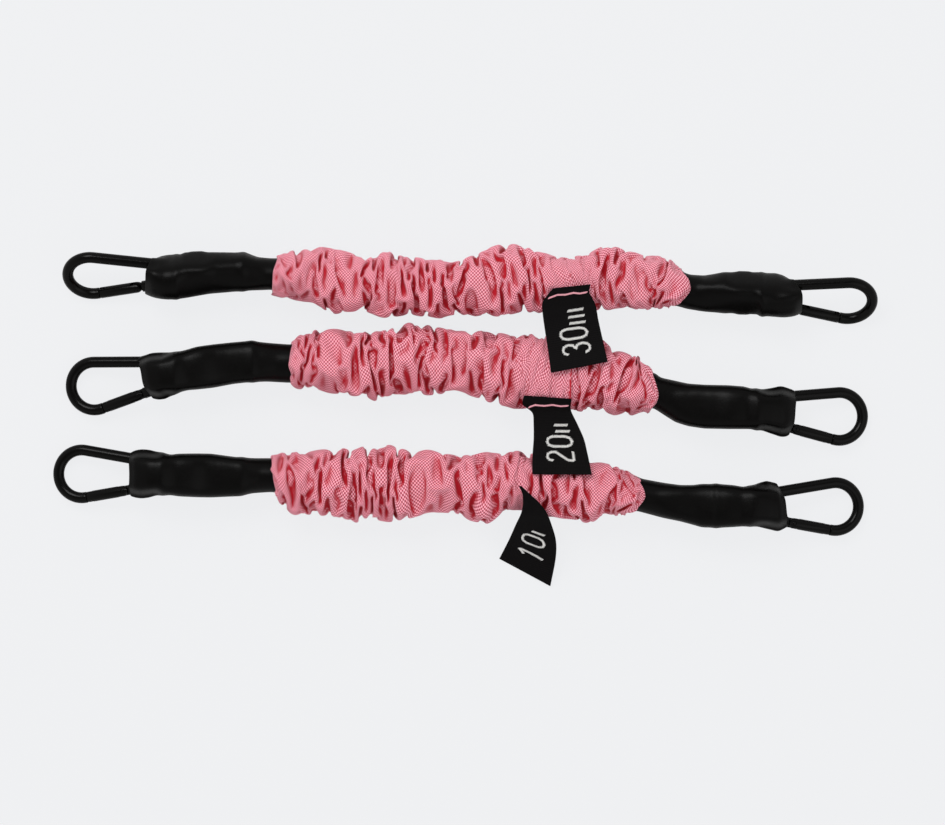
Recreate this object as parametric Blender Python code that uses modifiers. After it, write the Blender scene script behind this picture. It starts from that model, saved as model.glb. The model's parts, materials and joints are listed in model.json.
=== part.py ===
"""Set of three resistance bands with a spring snap hook at each end.

Each band is a latex tube whose two ends are folded round a pear-shaped snap hook,
bound, and covered by a shrunk rubber cuff. A long fabric sleeve is gathered over the
tube and tucks over the cuffs, and a woven tag is sewn on it.
The set lies on a surface at Z = 0, with the bands along X. All sizes are in metres.
"""
import math
from dataclasses import dataclass

import bmesh
import bpy
from mathutils import Matrix, Vector

# Clearances
GAP = 0.0003                  # between pieces that touch on the real object
FLOOR_GAP = 0.0003            # under a hook that nearly touches the surface

# Snap hook: a pear of round wire, with a sprung gate in its straight side
HOOK_LENGTH = 0.050
HOOK_WIDTH = 0.025
HOOK_NARROW = 0.015
WIRE_D = 0.0047
WIRE_SIDES = 8
BOW_STEPS = 9                 # odd, so that one facet looks straight along the hook
HEEL_STEPS = 5
NOSE_AT = 0.0008              # along the gate's side, from where the bow ends
RIVET_AT = 0.0170
RIVET_D = 0.0016
TANG_T = 0.0018
TANG_R = 0.0020
SHOULDER = 0.0199             # where the round wire ends behind the rivet, from the bow's end
TONGUE_LENGTH = 0.0022
TONGUE_HALF = 0.0016
GATE_END_GAP = 0.0004
SLOT_EASE = 0.0003
BORE_D = 0.0027
BORE_DEPTH = 0.0085
PLUNGER_D = 0.0020
PLUNGER_LENGTH = 0.0030
PIN_SIDES = 8
SPRING_WIRE = 0.00035
SPRING_D = 0.0020
SPRING_TURNS = 3

# Latex tube and the way it is folded round the hook
TWIST_AT = 0.012              # behind the hook's heel, where a rolled hook's twist starts
TWIST_LENGTH = 0.030
TUBE_D = 0.0125
TUBE_SIDES = 12
FOLD_STEPS = 6
RUN_STEP = 0.030
SEAT_EASE = 0.00045           # rubber to hook wire
PINCH_EASE = 0.0010           # rubber squeezed between the hook's sides
MOST_PINCHED = 0.35
LEG_W = 0.0135                # flattened tube beside the hook wire
LEG_T = 0.0070
BOUND_W = 0.0126              # inside the binding
BOUND_T = 0.0062
DOUBLE_W = 0.0150             # doubled tube behind the binding
DOUBLE_T = 0.0066
FOLD_W = 0.0076               # squeezed between the hook's sides
FOLD_SET_BACK = 0.0010        # loop of tube behind the cuff's mouth
BIND_AT = 0.0045              # behind the hook's heel
BIND_LENGTH = 0.0060
BIND_WALL = 0.0006
BIND_EASE = 0.0005            # rubber to binding
TAIL_SHORT = 0.014            # the tail stops this far before the sleeve
NARROWING = 0.0055            # from the tail's end to half way down to one tube
SINGLE = 0.0100               # from the tail's end to where one round tube runs alone

# Rubber cuff
CUFF_WALL = 0.0009
CUFF_TUCK = 0.009             # length hidden under the sleeve
CUFF_SIDES = 12
MOUTH_EASE = 0.0007           # hook wire to cuff, at the mouth
PAIR_EASE = 0.0007            # doubled tube to cuff, at the sides
MOUTH_HALF_HEIGHT = 0.0074

# Gathered sleeve
SLEEVE_R = 0.0136             # crest of the gathers
SLEEVE_SIDES = 12
SLEEVE_STEP = 0.0035
BORE_EVERY = 6                # the plain bore has one ring to this many outside
SLEEVE_EASE = 0.00035
VALLEY = 0.0031               # depth of the gathers
FOLD_PITCH = 0.0098
HEM_WALL = 0.0011
HEM_LENGTH = 0.008
FLAT_CUT = 0.0012             # pressed flat where the sleeve lies on the surface
PRESSED = 0.85                # share of the gathers' depth that is lost underneath
BELLY = 0.0011                # how much further the gathers stand out sideways
BELLY_PITCH = 0.0471
CREST_POWER = 0.75            # under 1 gives broad crests and narrow valleys
# How a fold wanders: strength, turns round the band, length along it and share of the drift
WANDERS = ((1.25, 1, 0.0131, 1), (0.70, 2, -0.0087, 2), (1.10, 0, 0.0233, 1))

# Woven tag
TAG_T = 0.0009
TAG_COLUMNS = 4
THREAD_D = 0.0007
THREAD_STITCHES = 8
THREAD_EASE = 0.0007

PINK = (0.571, 0.150, 0.194)
THREAD_PINK = (0.62, 0.19, 0.25)
BLACK = (0.0075, 0.0068, 0.0062)
TAG_BLACK = (0.011, 0.010, 0.010)
LATEX = (0.012, 0.011, 0.010)
STEEL = (0.46, 0.45, 0.43)


@dataclass
class End:
    """One end of a band: where its hook points, and how far the cuff and sleeve reach."""
    tip: tuple                # X and Y of the hook's tip
    heading: float            # degrees, direction of the band here, left to right
    droop: float              # degrees that the hook slopes down to its tip
    roll: float               # degrees that the hook is turned about the band
    hood: float               # how far the cuff reaches over the hook from its heel
    reach: float              # from the hook's heel to the sleeve

    @property
    def mouth(self):
        """Return the distance from the hook's tip to the cuff's mouth."""
        return HOOK_LENGTH - self.hood

    @property
    def sleeve(self):
        """Return the distance from the hook's tip to the sleeve."""
        return HOOK_LENGTH + self.reach


@dataclass
class Band:
    """One band: its strength, ends, the line that it lies on, and its tag."""
    name: str
    wall: float
    left: End
    right: End
    line: tuple
    drift: float
    tag: tuple                # left and right edge of the tag, from its sewn top down


BANDS = (
    Band("30", 0.0032,
         End((-0.1708, 0.0591), 1.2, 4.8, 42.0, 0.0130, 0.0400),
         End((0.1750, 0.0477), -4.5, 4.8, 42.0, 0.0145, 0.0315),
         ((-0.100, 0.0606), (-0.085, 0.0597), (-0.057, 0.0572), (-0.037, 0.0545), (-0.014, 0.0540),
          (0.006, 0.0555), (0.026, 0.0580), (0.057, 0.0585), (0.078, 0.0574), (0.100, 0.0528)),
         0.4,
         (((0.0373, 0.0533, 0.0257), (0.0528, 0.0553, 0.0259)),
          ((0.0326, 0.0472, 0.0236), (0.0538, 0.0502, 0.0242)),
          ((0.0338, 0.0370, 0.0225), (0.0562, 0.0400, 0.0229)),
          ((0.0352, 0.0272, 0.0240), (0.0584, 0.0310, 0.0234)),
          ((0.0362, 0.0180, 0.0264), (0.0602, 0.0227, 0.0258)))),
    Band("20", 0.0026,
         End((-0.1695, 0.0104), 10.0, 13.0, 0.0, 0.0148, 0.0460),
         End((0.1712, -0.0015), -5.2, 13.0, 0.0, 0.0158, 0.0400),
         ((-0.100, 0.0216), (-0.078, 0.0222), (-0.053, 0.0220), (-0.030, 0.0229), (-0.007, 0.0229),
          (0.012, 0.0214), (0.030, 0.0183), (0.061, 0.0146), (0.078, 0.0110), (0.096, 0.0052)),
         1.9,
         (((0.0246, 0.0083, 0.0226), (0.0450, 0.0067, 0.0226)),
          ((0.0288, 0.0002, 0.0199), (0.0450, 0.0014, 0.0197)),
          ((0.0284, -0.0080, 0.0197), (0.0500, -0.0086, 0.0199)),
          ((0.0285, -0.0166, 0.0211), (0.0518, -0.0168, 0.0213)),
          ((0.0286, -0.0248, 0.0249), (0.0534, -0.0249, 0.0249)))),
    Band("10", 0.0020,
         End((-0.1750, -0.0248), 0.0, 13.0, 0.0, 0.0155, 0.0435),
         End((0.1695, -0.0388), -0.5, 13.0, 0.0, 0.0160, 0.0445),
         ((-0.107, -0.0251), (-0.084, -0.0256), (-0.053, -0.0284), (-0.030, -0.0290), (-0.007, -0.0286),
          (0.012, -0.0303), (0.040, -0.0314), (0.061, -0.0318), (0.080, -0.0345), (0.098, -0.0378)),
         3.1,
         (((0.0246, -0.0367, 0.0259), (0.0228, -0.0294, 0.0271)),
          ((0.0225, -0.0432, 0.0223), (0.0332, -0.0379, 0.0261)),
          ((0.0190, -0.0500, 0.0135), (0.0375, -0.0490, 0.0183)),
          ((0.0163, -0.0560, 0.0052), (0.0380, -0.0610, 0.0085)),
          ((0.0144, -0.0608, 0.0013), (0.0361, -0.0724, 0.0013)))),
)

# Worked out from the sizes above
WIRE_R = WIRE_D / 2
BOW_R = HOOK_WIDTH / 2 - WIRE_R
HEEL_R = HOOK_NARROW / 2 - WIRE_R
BOW_AT = HOOK_WIDTH / 2
HEEL_AT = HOOK_LENGTH - HOOK_NARROW / 2
FLARE = math.asin((BOW_R - HEEL_R) / (HEEL_AT - BOW_AT))
APEX = HOOK_LENGTH - WIRE_R
SEAT = WIRE_R + SEAT_EASE
PINCH = WIRE_R + PINCH_EASE
BIND_HALF_W = BOUND_W / 2 + BIND_EASE
BIND_HALF_H = BOUND_T + GAP / 2 + BIND_EASE
CUFF_END_R = TUBE_D / 2 + GAP + CUFF_WALL
SLEEVE_BORE = CUFF_END_R + SLEEVE_EASE
AXIS_Z = SLEEVE_R - FLAT_CUT
UP = Vector((0, 0, 1))


# Scene, materials and meshes
def clear_scene():
    """Remove every object."""
    for obj in list(bpy.data.objects):
        bpy.data.objects.remove(obj, do_unlink=True)


def collection(name):
    """Return a new collection in the scene."""
    made = bpy.data.collections.new(name)
    bpy.context.scene.collection.children.link(made)
    return made


def material(name, colour, roughness, metallic=0.0):
    """Return a Principled material."""
    made = bpy.data.materials.new(name)
    made.use_nodes = True
    shader = made.node_tree.nodes["Principled BSDF"]
    shader.inputs["Base Color"].default_value = (*colour, 1.0)
    shader.inputs["Roughness"].default_value = roughness
    shader.inputs["Metallic"].default_value = metallic
    return made


def add_object(name, data, group, finish=None, parent=None, place=None):
    """Link an object with its material, parent and placement relative to that parent."""
    obj = bpy.data.objects.new(name, data)
    group.objects.link(obj)
    if finish is not None:
        data.materials.append(finish)
    if parent is not None:
        obj.parent = parent
    if place is not None:
        obj.matrix_local = place
    return obj


def finish_mesh(name, bm, smooth=True):
    """Turn a bmesh into a mesh with its faces outwards and sharp edges kept."""
    bmesh.ops.recalc_face_normals(bm, faces=bm.faces)
    mesh = bpy.data.meshes.new(name)
    bm.to_mesh(mesh)
    bm.free()
    if smooth:
        mesh.shade_smooth()
        mesh.set_sharp_from_angle(angle=math.radians(40))
    return mesh


def bridge(bm, first, second):
    """Join two rings of the same number of points with quads."""
    count = len(first)
    for i in range(count):
        j = (i + 1) % count
        bm.faces.new((first[i], first[j], second[j], second[i]))


def lofted(name, rings):
    """Return a solid through a row of rings, closed at both ends."""
    bm = bmesh.new()
    rows = [[bm.verts.new(point) for point in ring] for ring in rings]
    for first, second in zip(rows, rows[1:]):
        bridge(bm, first, second)
    bm.faces.new(rows[0])
    bm.faces.new(rows[-1])
    return finish_mesh(name, bm)


def lofted_shell(name, outer, inner):
    """Return a tube through outer and inner rings, open at both ends.

    An inner ring has as many points as an outer one, or half as many.
    """
    bm = bmesh.new()
    skin = [[bm.verts.new(point) for point in ring] for ring in outer]
    bore = [[bm.verts.new(point) for point in ring] for ring in inner]
    for row in (skin, bore):
        for first, second in zip(row, row[1:]):
            bridge(bm, first, second)
    for rim, hole in ((skin[0], bore[0]), (skin[-1], bore[-1])):
        if len(rim) == len(hole):
            bridge(bm, rim, hole)
            continue
        count = len(hole)
        for i in range(count):
            j = (i + 1) % count
            start, middle, stop = rim[2 * i], rim[2 * i + 1], rim[(2 * i + 2) % len(rim)]
            bm.faces.new((start, middle, hole[i]))
            bm.faces.new((middle, hole[j], hole[i]))
            bm.faces.new((middle, stop, hole[j]))
    return finish_mesh(name, bm)


def oval(half_width, half_height, sides, power=2.0, turn=0.0):
    """Return the points of a superellipse, round at power 2 and boxier above it."""
    points = []
    for i in range(sides):
        angle = 2 * math.pi * i / sides + turn
        c, s = math.cos(angle), math.sin(angle)
        points.append((half_width * math.copysign(abs(c) ** (2 / power), c),
                       half_height * math.copysign(abs(s) ** (2 / power), s)))
    return points


def smooth_step(value):
    """Ease from 0 to 1."""
    value = min(max(value, 0.0), 1.0)
    return value * value * (3 - 2 * value)


# The hook's outline
def pear_half_width(along, offset=0.0):
    """Return half the width of the wire's centre line, moved outwards by offset.

    along is measured from the hook's tip to its heel.
    """
    heel = HEEL_R + offset
    if along > HEEL_AT + heel * math.sin(FLARE):
        return math.sqrt(max(heel ** 2 - (along - HEEL_AT) ** 2, 0.0))
    return (BOW_R + offset - (along - BOW_AT) * math.sin(FLARE)) / math.cos(FLARE)


def gate_line(distance):
    """Return the point at a distance along the gate's side of the hook."""
    start = Vector((BOW_AT + BOW_R * math.sin(FLARE), -BOW_R * math.cos(FLARE), 0))
    return start + distance * Vector((math.cos(FLARE), math.sin(FLARE), 0))



def wire_ring(centre, direction, half_width, half_height):
    """Return a ring across a wire that runs in the hook's plane."""
    across = Vector((-direction.y, direction.x, 0))
    turn = math.pi / WIRE_SIDES
    scale = 1 / math.cos(turn)
    return [centre + across * y + UP * z
            for y, z in oval(half_width * scale, half_height * scale, WIRE_SIDES, turn=turn)]


def hook_body_mesh():
    """Return the bent wire, from its flat nose tongue round to its flat tang."""
    along_gate = Vector((math.cos(FLARE), math.sin(FLARE), 0))
    rings = []
    for distance, half in ((NOSE_AT + TONGUE_LENGTH, TONGUE_HALF * 0.7),
                           (NOSE_AT + TONGUE_LENGTH * 0.7, TONGUE_HALF),
                           (NOSE_AT, TONGUE_HALF)):
        rings.append(wire_ring(gate_line(distance), -along_gate, half, TANG_T / 2))
    rings.append(wire_ring(gate_line(NOSE_AT), -along_gate, WIRE_R, WIRE_R))
    quarter = math.pi / 2 - FLARE
    for centre, radius, start, stop, steps in (
            (BOW_AT, BOW_R, -quarter, -2 * math.pi + quarter, BOW_STEPS),
            (HEEL_AT, HEEL_R, quarter, -quarter, HEEL_STEPS)):
        for i in range(steps + 1):
            angle = start + (stop - start) * i / steps
            spot = Vector((centre + radius * math.cos(angle), radius * math.sin(angle), 0))
            direction = Vector((math.sin(angle), -math.cos(angle), 0))
            rings.append(wire_ring(spot, direction, WIRE_R, WIRE_R))
    rings.append(wire_ring(gate_line(SHOULDER), -along_gate, WIRE_R, WIRE_R))
    for distance in (SHOULDER, RIVET_AT, RIVET_AT - TANG_R * 0.55, RIVET_AT - TANG_R * 0.88,
                     RIVET_AT - TANG_R):
        past = min(distance - RIVET_AT, 0.0)
        half = max(math.sqrt(max(TANG_R ** 2 - past ** 2, 0.0)), TANG_R * 0.2)
        rings.append(wire_ring(gate_line(distance), -along_gate, half, TANG_T / 2))
    return lofted("hook_body", rings)


def gate_mesh():
    """Return the gate before its slots and bore are cut, with its rivet at the origin."""
    nose = NOSE_AT + GATE_END_GAP - RIVET_AT
    back = Vector((1, 0, 0))
    rings = [wire_ring(Vector((nose, 0, 0)), back, WIRE_R * 0.93, WIRE_R * 0.93),
             wire_ring(Vector((nose + 0.0003, 0, 0)), back, WIRE_R, WIRE_R)]
    for share in (0.0, 0.5, 0.85, 0.98):
        half = WIRE_R * math.sqrt(1 - share ** 2)
        rings.append(wire_ring(Vector((WIRE_R * share, 0, 0)), back, half, WIRE_R))
    return lofted("hook_gate", rings)


def cylinder_mesh(name, radius, length, sides, centre, axis):
    """Return a cylinder with its middle at centre."""
    bm = bmesh.new()
    bmesh.ops.create_cone(bm, cap_ends=True, segments=sides, radius1=radius, radius2=radius, depth=length)
    turn = UP.rotation_difference(Vector(axis)).to_matrix().to_4x4()
    bmesh.ops.transform(bm, matrix=Matrix.Translation(centre) @ turn, verts=bm.verts)
    return finish_mesh(name, bm)


def box_mesh(name, low, high):
    """Return a box between two corners."""
    bm = bmesh.new()
    bmesh.ops.create_cube(bm, size=1.0)
    low, high = Vector(low), Vector(high)
    size = Matrix.Diagonal((*(high - low), 1.0))
    bmesh.ops.transform(bm, matrix=Matrix.Translation((low + high) / 2) @ size, verts=bm.verts)
    return finish_mesh(name, bm, smooth=False)


def spring_mesh(start, length):
    """Return the gate's compression spring, along +X from start."""
    mean = (SPRING_D - SPRING_WIRE) / 2
    steps = 6 * SPRING_TURNS
    rings = []
    for i in range(steps + 1):
        angle = 2 * math.pi * SPRING_TURNS * i / steps
        out = Vector((0, math.cos(angle), math.sin(angle)))
        centre = Vector((start + SPRING_WIRE / 2 + (length - SPRING_WIRE) * i / steps, 0, 0)) + mean * out
        rings.append([centre + out * y + Vector((1, 0, 0)) * z
                      for y, z in oval(SPRING_WIRE / 2, SPRING_WIRE / 2, 3)])
    return lofted("gate_spring", rings)


def cut(obj, cutter, group, place):
    """Cut one hidden shape out of an object."""
    tool = add_object(obj.name + "_" + cutter.name, cutter, group, place=place)
    tool.hide_render = True
    tool.display_type = "WIRE"
    change = obj.modifiers.new(cutter.name, "BOOLEAN")
    change.operation = "DIFFERENCE"
    change.solver = "EXACT"
    change.object = tool


# The line that a band lies on
class Route:
    """Centre line of one band, from the left hook's tip to the right hook's tip."""

    STRAIGHT = HOOK_LENGTH
    STEP = 0.0005
    EASE = 0.002              # half the stretch that a direction is read over

    def __init__(self, band):
        """Run straight through both hooks and smoothly through the points between."""
        self.band = band
        self.points = []
        left, right = self.end_line(band.left, 1), self.end_line(band.right, -1)
        knots = [left[0] + left[1] * self.STRAIGHT]
        knots += [Vector((x, y, AXIS_Z)) for x, y in band.line]
        knots.append(right[0] + right[1] * self.STRAIGHT)
        slopes = [left[1]]
        for before, after in zip(knots, knots[2:]):
            slopes.append((after - before).normalized())
        slopes.append(-right[1])
        self.points.append(left[0])
        for i in range(len(knots) - 1):
            chord = (knots[i + 1] - knots[i]).length
            steps = max(int(chord / self.STEP), 2)
            for k in range(steps):
                self.points.append(self.hermite(knots[i], knots[i + 1], slopes[i] * chord,
                                                slopes[i + 1] * chord, k / steps))
        self.points.append(knots[-1])
        self.points.append(right[0])
        self.at = [0.0]
        for before, after in zip(self.points, self.points[1:]):
            self.at.append(self.at[-1] + (after - before).length)
        self.length = self.at[-1]

    @staticmethod
    def end_line(end, side):
        """Return the hook tip's place and the direction from it into the band."""
        heading, droop, roll = (math.radians(a) for a in (end.heading, end.droop, end.roll))
        inward = Vector((side * math.cos(heading) * math.cos(droop),
                         side * math.sin(heading) * math.cos(droop), math.sin(droop)))
        reach = math.sqrt(math.sin(droop) ** 2 + (math.sin(roll) * math.cos(droop)) ** 2)
        bow_z = FLOOR_GAP + WIRE_R + BOW_R * reach
        return Vector((*end.tip, bow_z - BOW_AT * math.sin(droop))), inward

    @staticmethod
    def hermite(a, b, slope_a, slope_b, u):
        """Return a point of a cubic between a and b."""
        return (a * (2 * u ** 3 - 3 * u ** 2 + 1) + slope_a * (u ** 3 - 2 * u ** 2 + u)
                + b * (3 * u ** 2 - 2 * u ** 3) + slope_b * (u ** 3 - u ** 2))

    def point(self, s):
        """Return the point at a distance from the left tip."""
        s = min(max(s, 0.0), self.length)
        low, high = 0, len(self.at) - 1
        while high - low > 1:
            middle = (low + high) // 2
            low, high = (middle, high) if self.at[middle] <= s else (low, middle)
        share = (s - self.at[low]) / (self.at[high] - self.at[low])
        return self.points[low].lerp(self.points[high], share)

    def roll(self, s):
        """Return how far the band is turned about its line."""
        angle = 0.0
        for end, distance in ((self.band.left, s), (self.band.right, self.length - s)):
            fade = smooth_step((distance - HOOK_LENGTH - TWIST_AT) / TWIST_LENGTH)
            angle += math.radians(end.roll) * (1 - fade)
        return angle

    def frame(self, s):
        """Return the place, direction, side and top at a distance from the left tip."""
        direction = (self.point(s + self.EASE) - self.point(s - self.EASE)).normalized()
        side = UP.cross(direction).normalized()
        top = direction.cross(side)
        angle = self.roll(s)
        return (self.point(s), direction, side * math.cos(angle) + top * math.sin(angle),
                top * math.cos(angle) - side * math.sin(angle))

    def hook_place(self, side):
        """Return the hook's frame: X from its tip to its heel, the gate on its -Y side."""
        place, direction, across, top = self.frame(0.0 if side == "left" else self.length)
        if side == "right":
            direction, top = -direction, -top
        turn = Matrix((direction, across, top)).transposed().to_4x4()
        return Matrix.Translation(place) @ turn


# The latex tube
@dataclass
class Station:
    """One section of the tube, measured from the hook's tip."""
    along: float
    lift: float
    turn: float               # degrees, 0 on the main run and 180 on the tail
    width: float
    thick: float
    boxy: float = 2.2


def end_stations(end):
    """Return the tube's sections at one end, from the tail round the hook to the run."""
    tail = end.sleeve - TAIL_SHORT
    bound = HOOK_LENGTH + BIND_AT
    leg = [
        (tail, (DOUBLE_T + GAP) / 2, DOUBLE_W, DOUBLE_T),
        (bound + BIND_LENGTH + 0.005, (DOUBLE_T + GAP) / 2, DOUBLE_W, DOUBLE_T),
        (bound + BIND_LENGTH + GAP, (BOUND_T + GAP) / 2, BOUND_W, BOUND_T),
        (bound - 0.0005, (BOUND_T + GAP) / 2, BOUND_W, BOUND_T),
        (APEX + SEAT * 1.55, SEAT * 0.22 + LEG_T * 0.47, LEG_W * 0.96, LEG_T * 0.94),
        (APEX + SEAT * 0.66, SEAT * 0.84 + LEG_T * 0.49, LEG_W, LEG_T * 0.98),
    ]
    stations = [Station(along, -lift, 180, width, thick) for along, lift, width, thick in leg]
    front = APEX - SEAT - end.mouth - FOLD_SET_BACK
    for i in range(FOLD_STEPS + 1):
        angle = math.pi * i / FOLD_STEPS
        bulge = math.sin(angle)
        thick = LEG_T + (front - LEG_T) * bulge
        middle = SEAT + thick / 2
        stations.append(Station(APEX - middle * math.sin(angle), -middle * math.cos(angle),
                                180 - math.degrees(angle), LEG_W + (FOLD_W - LEG_W) * bulge, thick))
    stations += [Station(along, lift, 0, width, thick) for along, lift, width, thick in reversed(leg)]
    stations.append(Station(tail + NARROWING, 0.0016, 0, TUBE_D * 1.1, TUBE_D * 0.78))
    for along in (tail + SINGLE, end.sleeve + CUFF_TUCK):
        stations.append(Station(along, 0.0, 0, TUBE_D, TUBE_D, 2.0))
    return stations


def pinched(along, across, height):
    """Return how far a point of the rubber may stand out between the hook's sides."""
    if abs(height) >= PINCH or along > HOOK_LENGTH:
        return across
    margin = math.sqrt(PINCH ** 2 - height ** 2)
    limit = max(pear_half_width(along, -margin), abs(across) * MOST_PINCHED)
    return math.copysign(min(abs(across), limit), across)


def tube_mesh(route):
    """Return the latex tube with its bore, both ends folded back round the hooks."""
    band = route.band
    left, right = end_stations(band.left), end_stations(band.right)
    start, stop = left[-1].along, route.length - right[-1].along
    run = max(int((stop - start) / RUN_STEP), 2)
    sections = [(s.along, 1, s) for s in left]
    for i in range(1, run):
        round_run = Station(0.0, 0.0, 0, TUBE_D, TUBE_D, 2.0)
        sections.append((start + (stop - start) * i / run, 0, round_run))
    sections += [(route.length - s.along, -1, s) for s in reversed(right)]
    bore = 1 - 2 * band.wall / TUBE_D
    outer, inner = [], []
    for s, end, station in sections:
        place, direction, side, top = route.frame(s)
        turn = math.radians(station.turn) * (end or 1)
        radial = top * math.cos(turn) - direction * math.sin(turn)
        centre = place + top * station.lift
        ring, hole = [], []
        for i, (y, r) in enumerate(oval(station.width / 2, station.thick / 2, TUBE_SIDES, station.boxy)):
            if end:
                y = pinched(station.along - r * math.sin(math.radians(station.turn)), y,
                            station.lift + r * math.cos(turn))
            ring.append(centre + side * y + radial * r)
            if i % 2 == 0:
                hole.append(centre + (side * y + radial * r) * bore)
        outer.append(ring)
        inner.append(hole)
    return lofted_shell("latex_tube", outer, inner)


# Binding and cuff
def oval_shell(name, route, side, stations, wall, sides):
    """Return a shell round the band through inner ovals, with one wall thickness."""
    outer, inner = [], []
    for along, half_width, half_height, power in stations:
        s = along if side == "left" else route.length - along
        place, _, across, top = route.frame(s)
        for rings, extra in ((outer, wall), (inner, 0.0)):
            rings.append([place + across * y + top * z
                          for y, z in oval(half_width + extra, half_height + extra, sides, power)])
    return lofted_shell(name, outer, inner)


def binding_mesh(route, side):
    """Return the oval ferrule that binds the folded tube behind the hook."""
    start = HOOK_LENGTH + BIND_AT
    half = (BIND_HALF_W, BIND_HALF_H, 4.0)
    return oval_shell("crimp_band", route, side, [(start, *half), (start + BIND_LENGTH, *half)],
                      BIND_WALL, CUFF_SIDES)


def cuff_stations(end):
    """Return the inner ovals of a cuff, from its mouth to its end under the sleeve."""
    bound = HOOK_LENGTH + BIND_AT
    tail = end.sleeve - TAIL_SHORT
    leg_top = SEAT + LEG_T + GAP
    around_bind = (BIND_HALF_W + BIND_WALL + GAP, BIND_HALF_H + BIND_WALL + GAP, 4.0)
    around_pair = (DOUBLE_W / 2 + PAIR_EASE, DOUBLE_T + GAP * 1.5 + 0.0001, 4.0)
    single = TUBE_D / 2 + GAP

    def beside_hook(along):
        return max(pear_half_width(along, WIRE_R) + MOUTH_EASE, LEG_W / 2 + GAP)

    return [
        (end.mouth, beside_hook(end.mouth), MOUTH_HALF_HEIGHT, 3.0),
        (end.mouth + 0.0030, beside_hook(end.mouth + 0.002), leg_top - 0.0006, 3.2),
        (HEEL_AT + 0.0020, beside_hook(HEEL_AT + 0.002), leg_top + 0.0001, 4.0),
        (APEX + SEAT * 0.66, LEG_W / 2 + 3 * GAP, leg_top - GAP, 4.0),
        (bound - 0.0006, *around_bind),
        (bound + BIND_LENGTH + GAP, *around_bind),
        (bound + BIND_LENGTH + 0.0045, *around_pair),
        (tail, *around_pair),
        (tail + NARROWING, TUBE_D * 0.55 + GAP * 1.5, TUBE_D * 0.52 + GAP * 1.5, 2.6),
        (tail + SINGLE, single, single, 2.0),
        (end.sleeve + CUFF_TUCK, single, single, 2.0),
    ]


# The gathered sleeve
def gather(band, along, around):
    """Return 1 on a crest of the gathers and 0 in a valley."""
    phase = 2 * math.pi * along / FOLD_PITCH + band.drift
    for strength, turns, length, drifts in WANDERS:
        phase += strength * math.sin(turns * around + along / length + drifts * band.drift)
    return (0.5 + 0.5 * math.cos(phase)) ** CREST_POWER


def sleeve_mesh(route):
    """Return the gathered sleeve: crests and valleys outside, a plain bore inside."""
    band = route.band
    start, stop = band.left.sleeve, route.length - band.right.sleeve
    steps = round((stop - start) / SLEEVE_STEP)
    outer, inner = [], []
    for i in range(steps + 1):
        s = start + (stop - start) * i / steps
        place, direction, _, _ = route.frame(s)
        side = UP.cross(direction).normalized()
        hem = smooth_step(min(s - start, stop - s) / HEM_LENGTH)
        ring, hole = [], []
        for k in range(SLEEVE_SIDES):
            around = 2 * math.pi * (k + 0.5) / SLEEVE_SIDES
            out = side * math.cos(around) + UP * math.sin(around)
            in_line = Matrix.Rotation(-math.pi / SLEEVE_SIDES, 3, direction) @ out
            swell = BELLY * math.cos(around) ** 2 * math.sin(2 * math.pi * s / BELLY_PITCH + 2 * band.drift)
            depth = VALLEY * (1 - PRESSED * max(-math.sin(around), 0.0) ** 2)
            full = SLEEVE_R + swell - depth * (1 - gather(band, s, around))
            radius = SLEEVE_BORE + HEM_WALL + (full - SLEEVE_BORE - HEM_WALL) * hem
            spot = place + out * radius
            ring.append(Vector((spot.x, spot.y, max(spot.z, 0.0))))
            hole.append(place + in_line * SLEEVE_BORE)
        outer.append(ring)
        if i % BORE_EVERY == 0 or i == steps:
            inner.append(hole)
    return lofted_shell("fabric_sleeve", outer, inner)


# The tag
def tag_mesh(band):
    """Return the tag's drape as an open sheet."""
    bm = bmesh.new()
    rows = []
    for left, right in band.tag:
        left, right = Vector(left), Vector(right)
        rows.append([bm.verts.new(left.lerp(right, i / TAG_COLUMNS)) for i in range(TAG_COLUMNS + 1)])
    for first, second in zip(rows, rows[1:]):
        for i in range(TAG_COLUMNS):
            bm.faces.new((first[i], first[i + 1], second[i + 1], second[i]))
    return finish_mesh("woven_tag", bm)


def thread_curve(band):
    """Return the sewing thread, in short slanting stitches on the tag's top strip."""
    top = [Vector(p) for p in band.tag[0]]
    below = [Vector(p) for p in band.tag[1]]
    data = bpy.data.curves.new("tag_stitching", "CURVE")
    data.dimensions = "3D"
    data.bevel_depth = THREAD_D / 2
    data.bevel_resolution = 0
    data.use_fill_caps = True
    spline = data.splines.new("POLY")
    spline.points.add(THREAD_STITCHES)
    for i in range(THREAD_STITCHES + 1):
        share = 0.06 + 0.88 * i / THREAD_STITCHES
        down = 0.22 if i % 2 else 0.36
        upper, lower = top[0].lerp(top[1], share), below[0].lerp(below[1], share)
        normal = (top[1] - top[0]).lerp(below[1] - below[0], down).cross(lower - upper).normalized()
        lift = math.copysign(TAG_T / 2 + THREAD_D / 2 + THREAD_EASE, normal.z)
        spot = upper.lerp(lower, down) + normal * lift
        spline.points[i].co = (*spot, 1.0)
    return data


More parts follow.
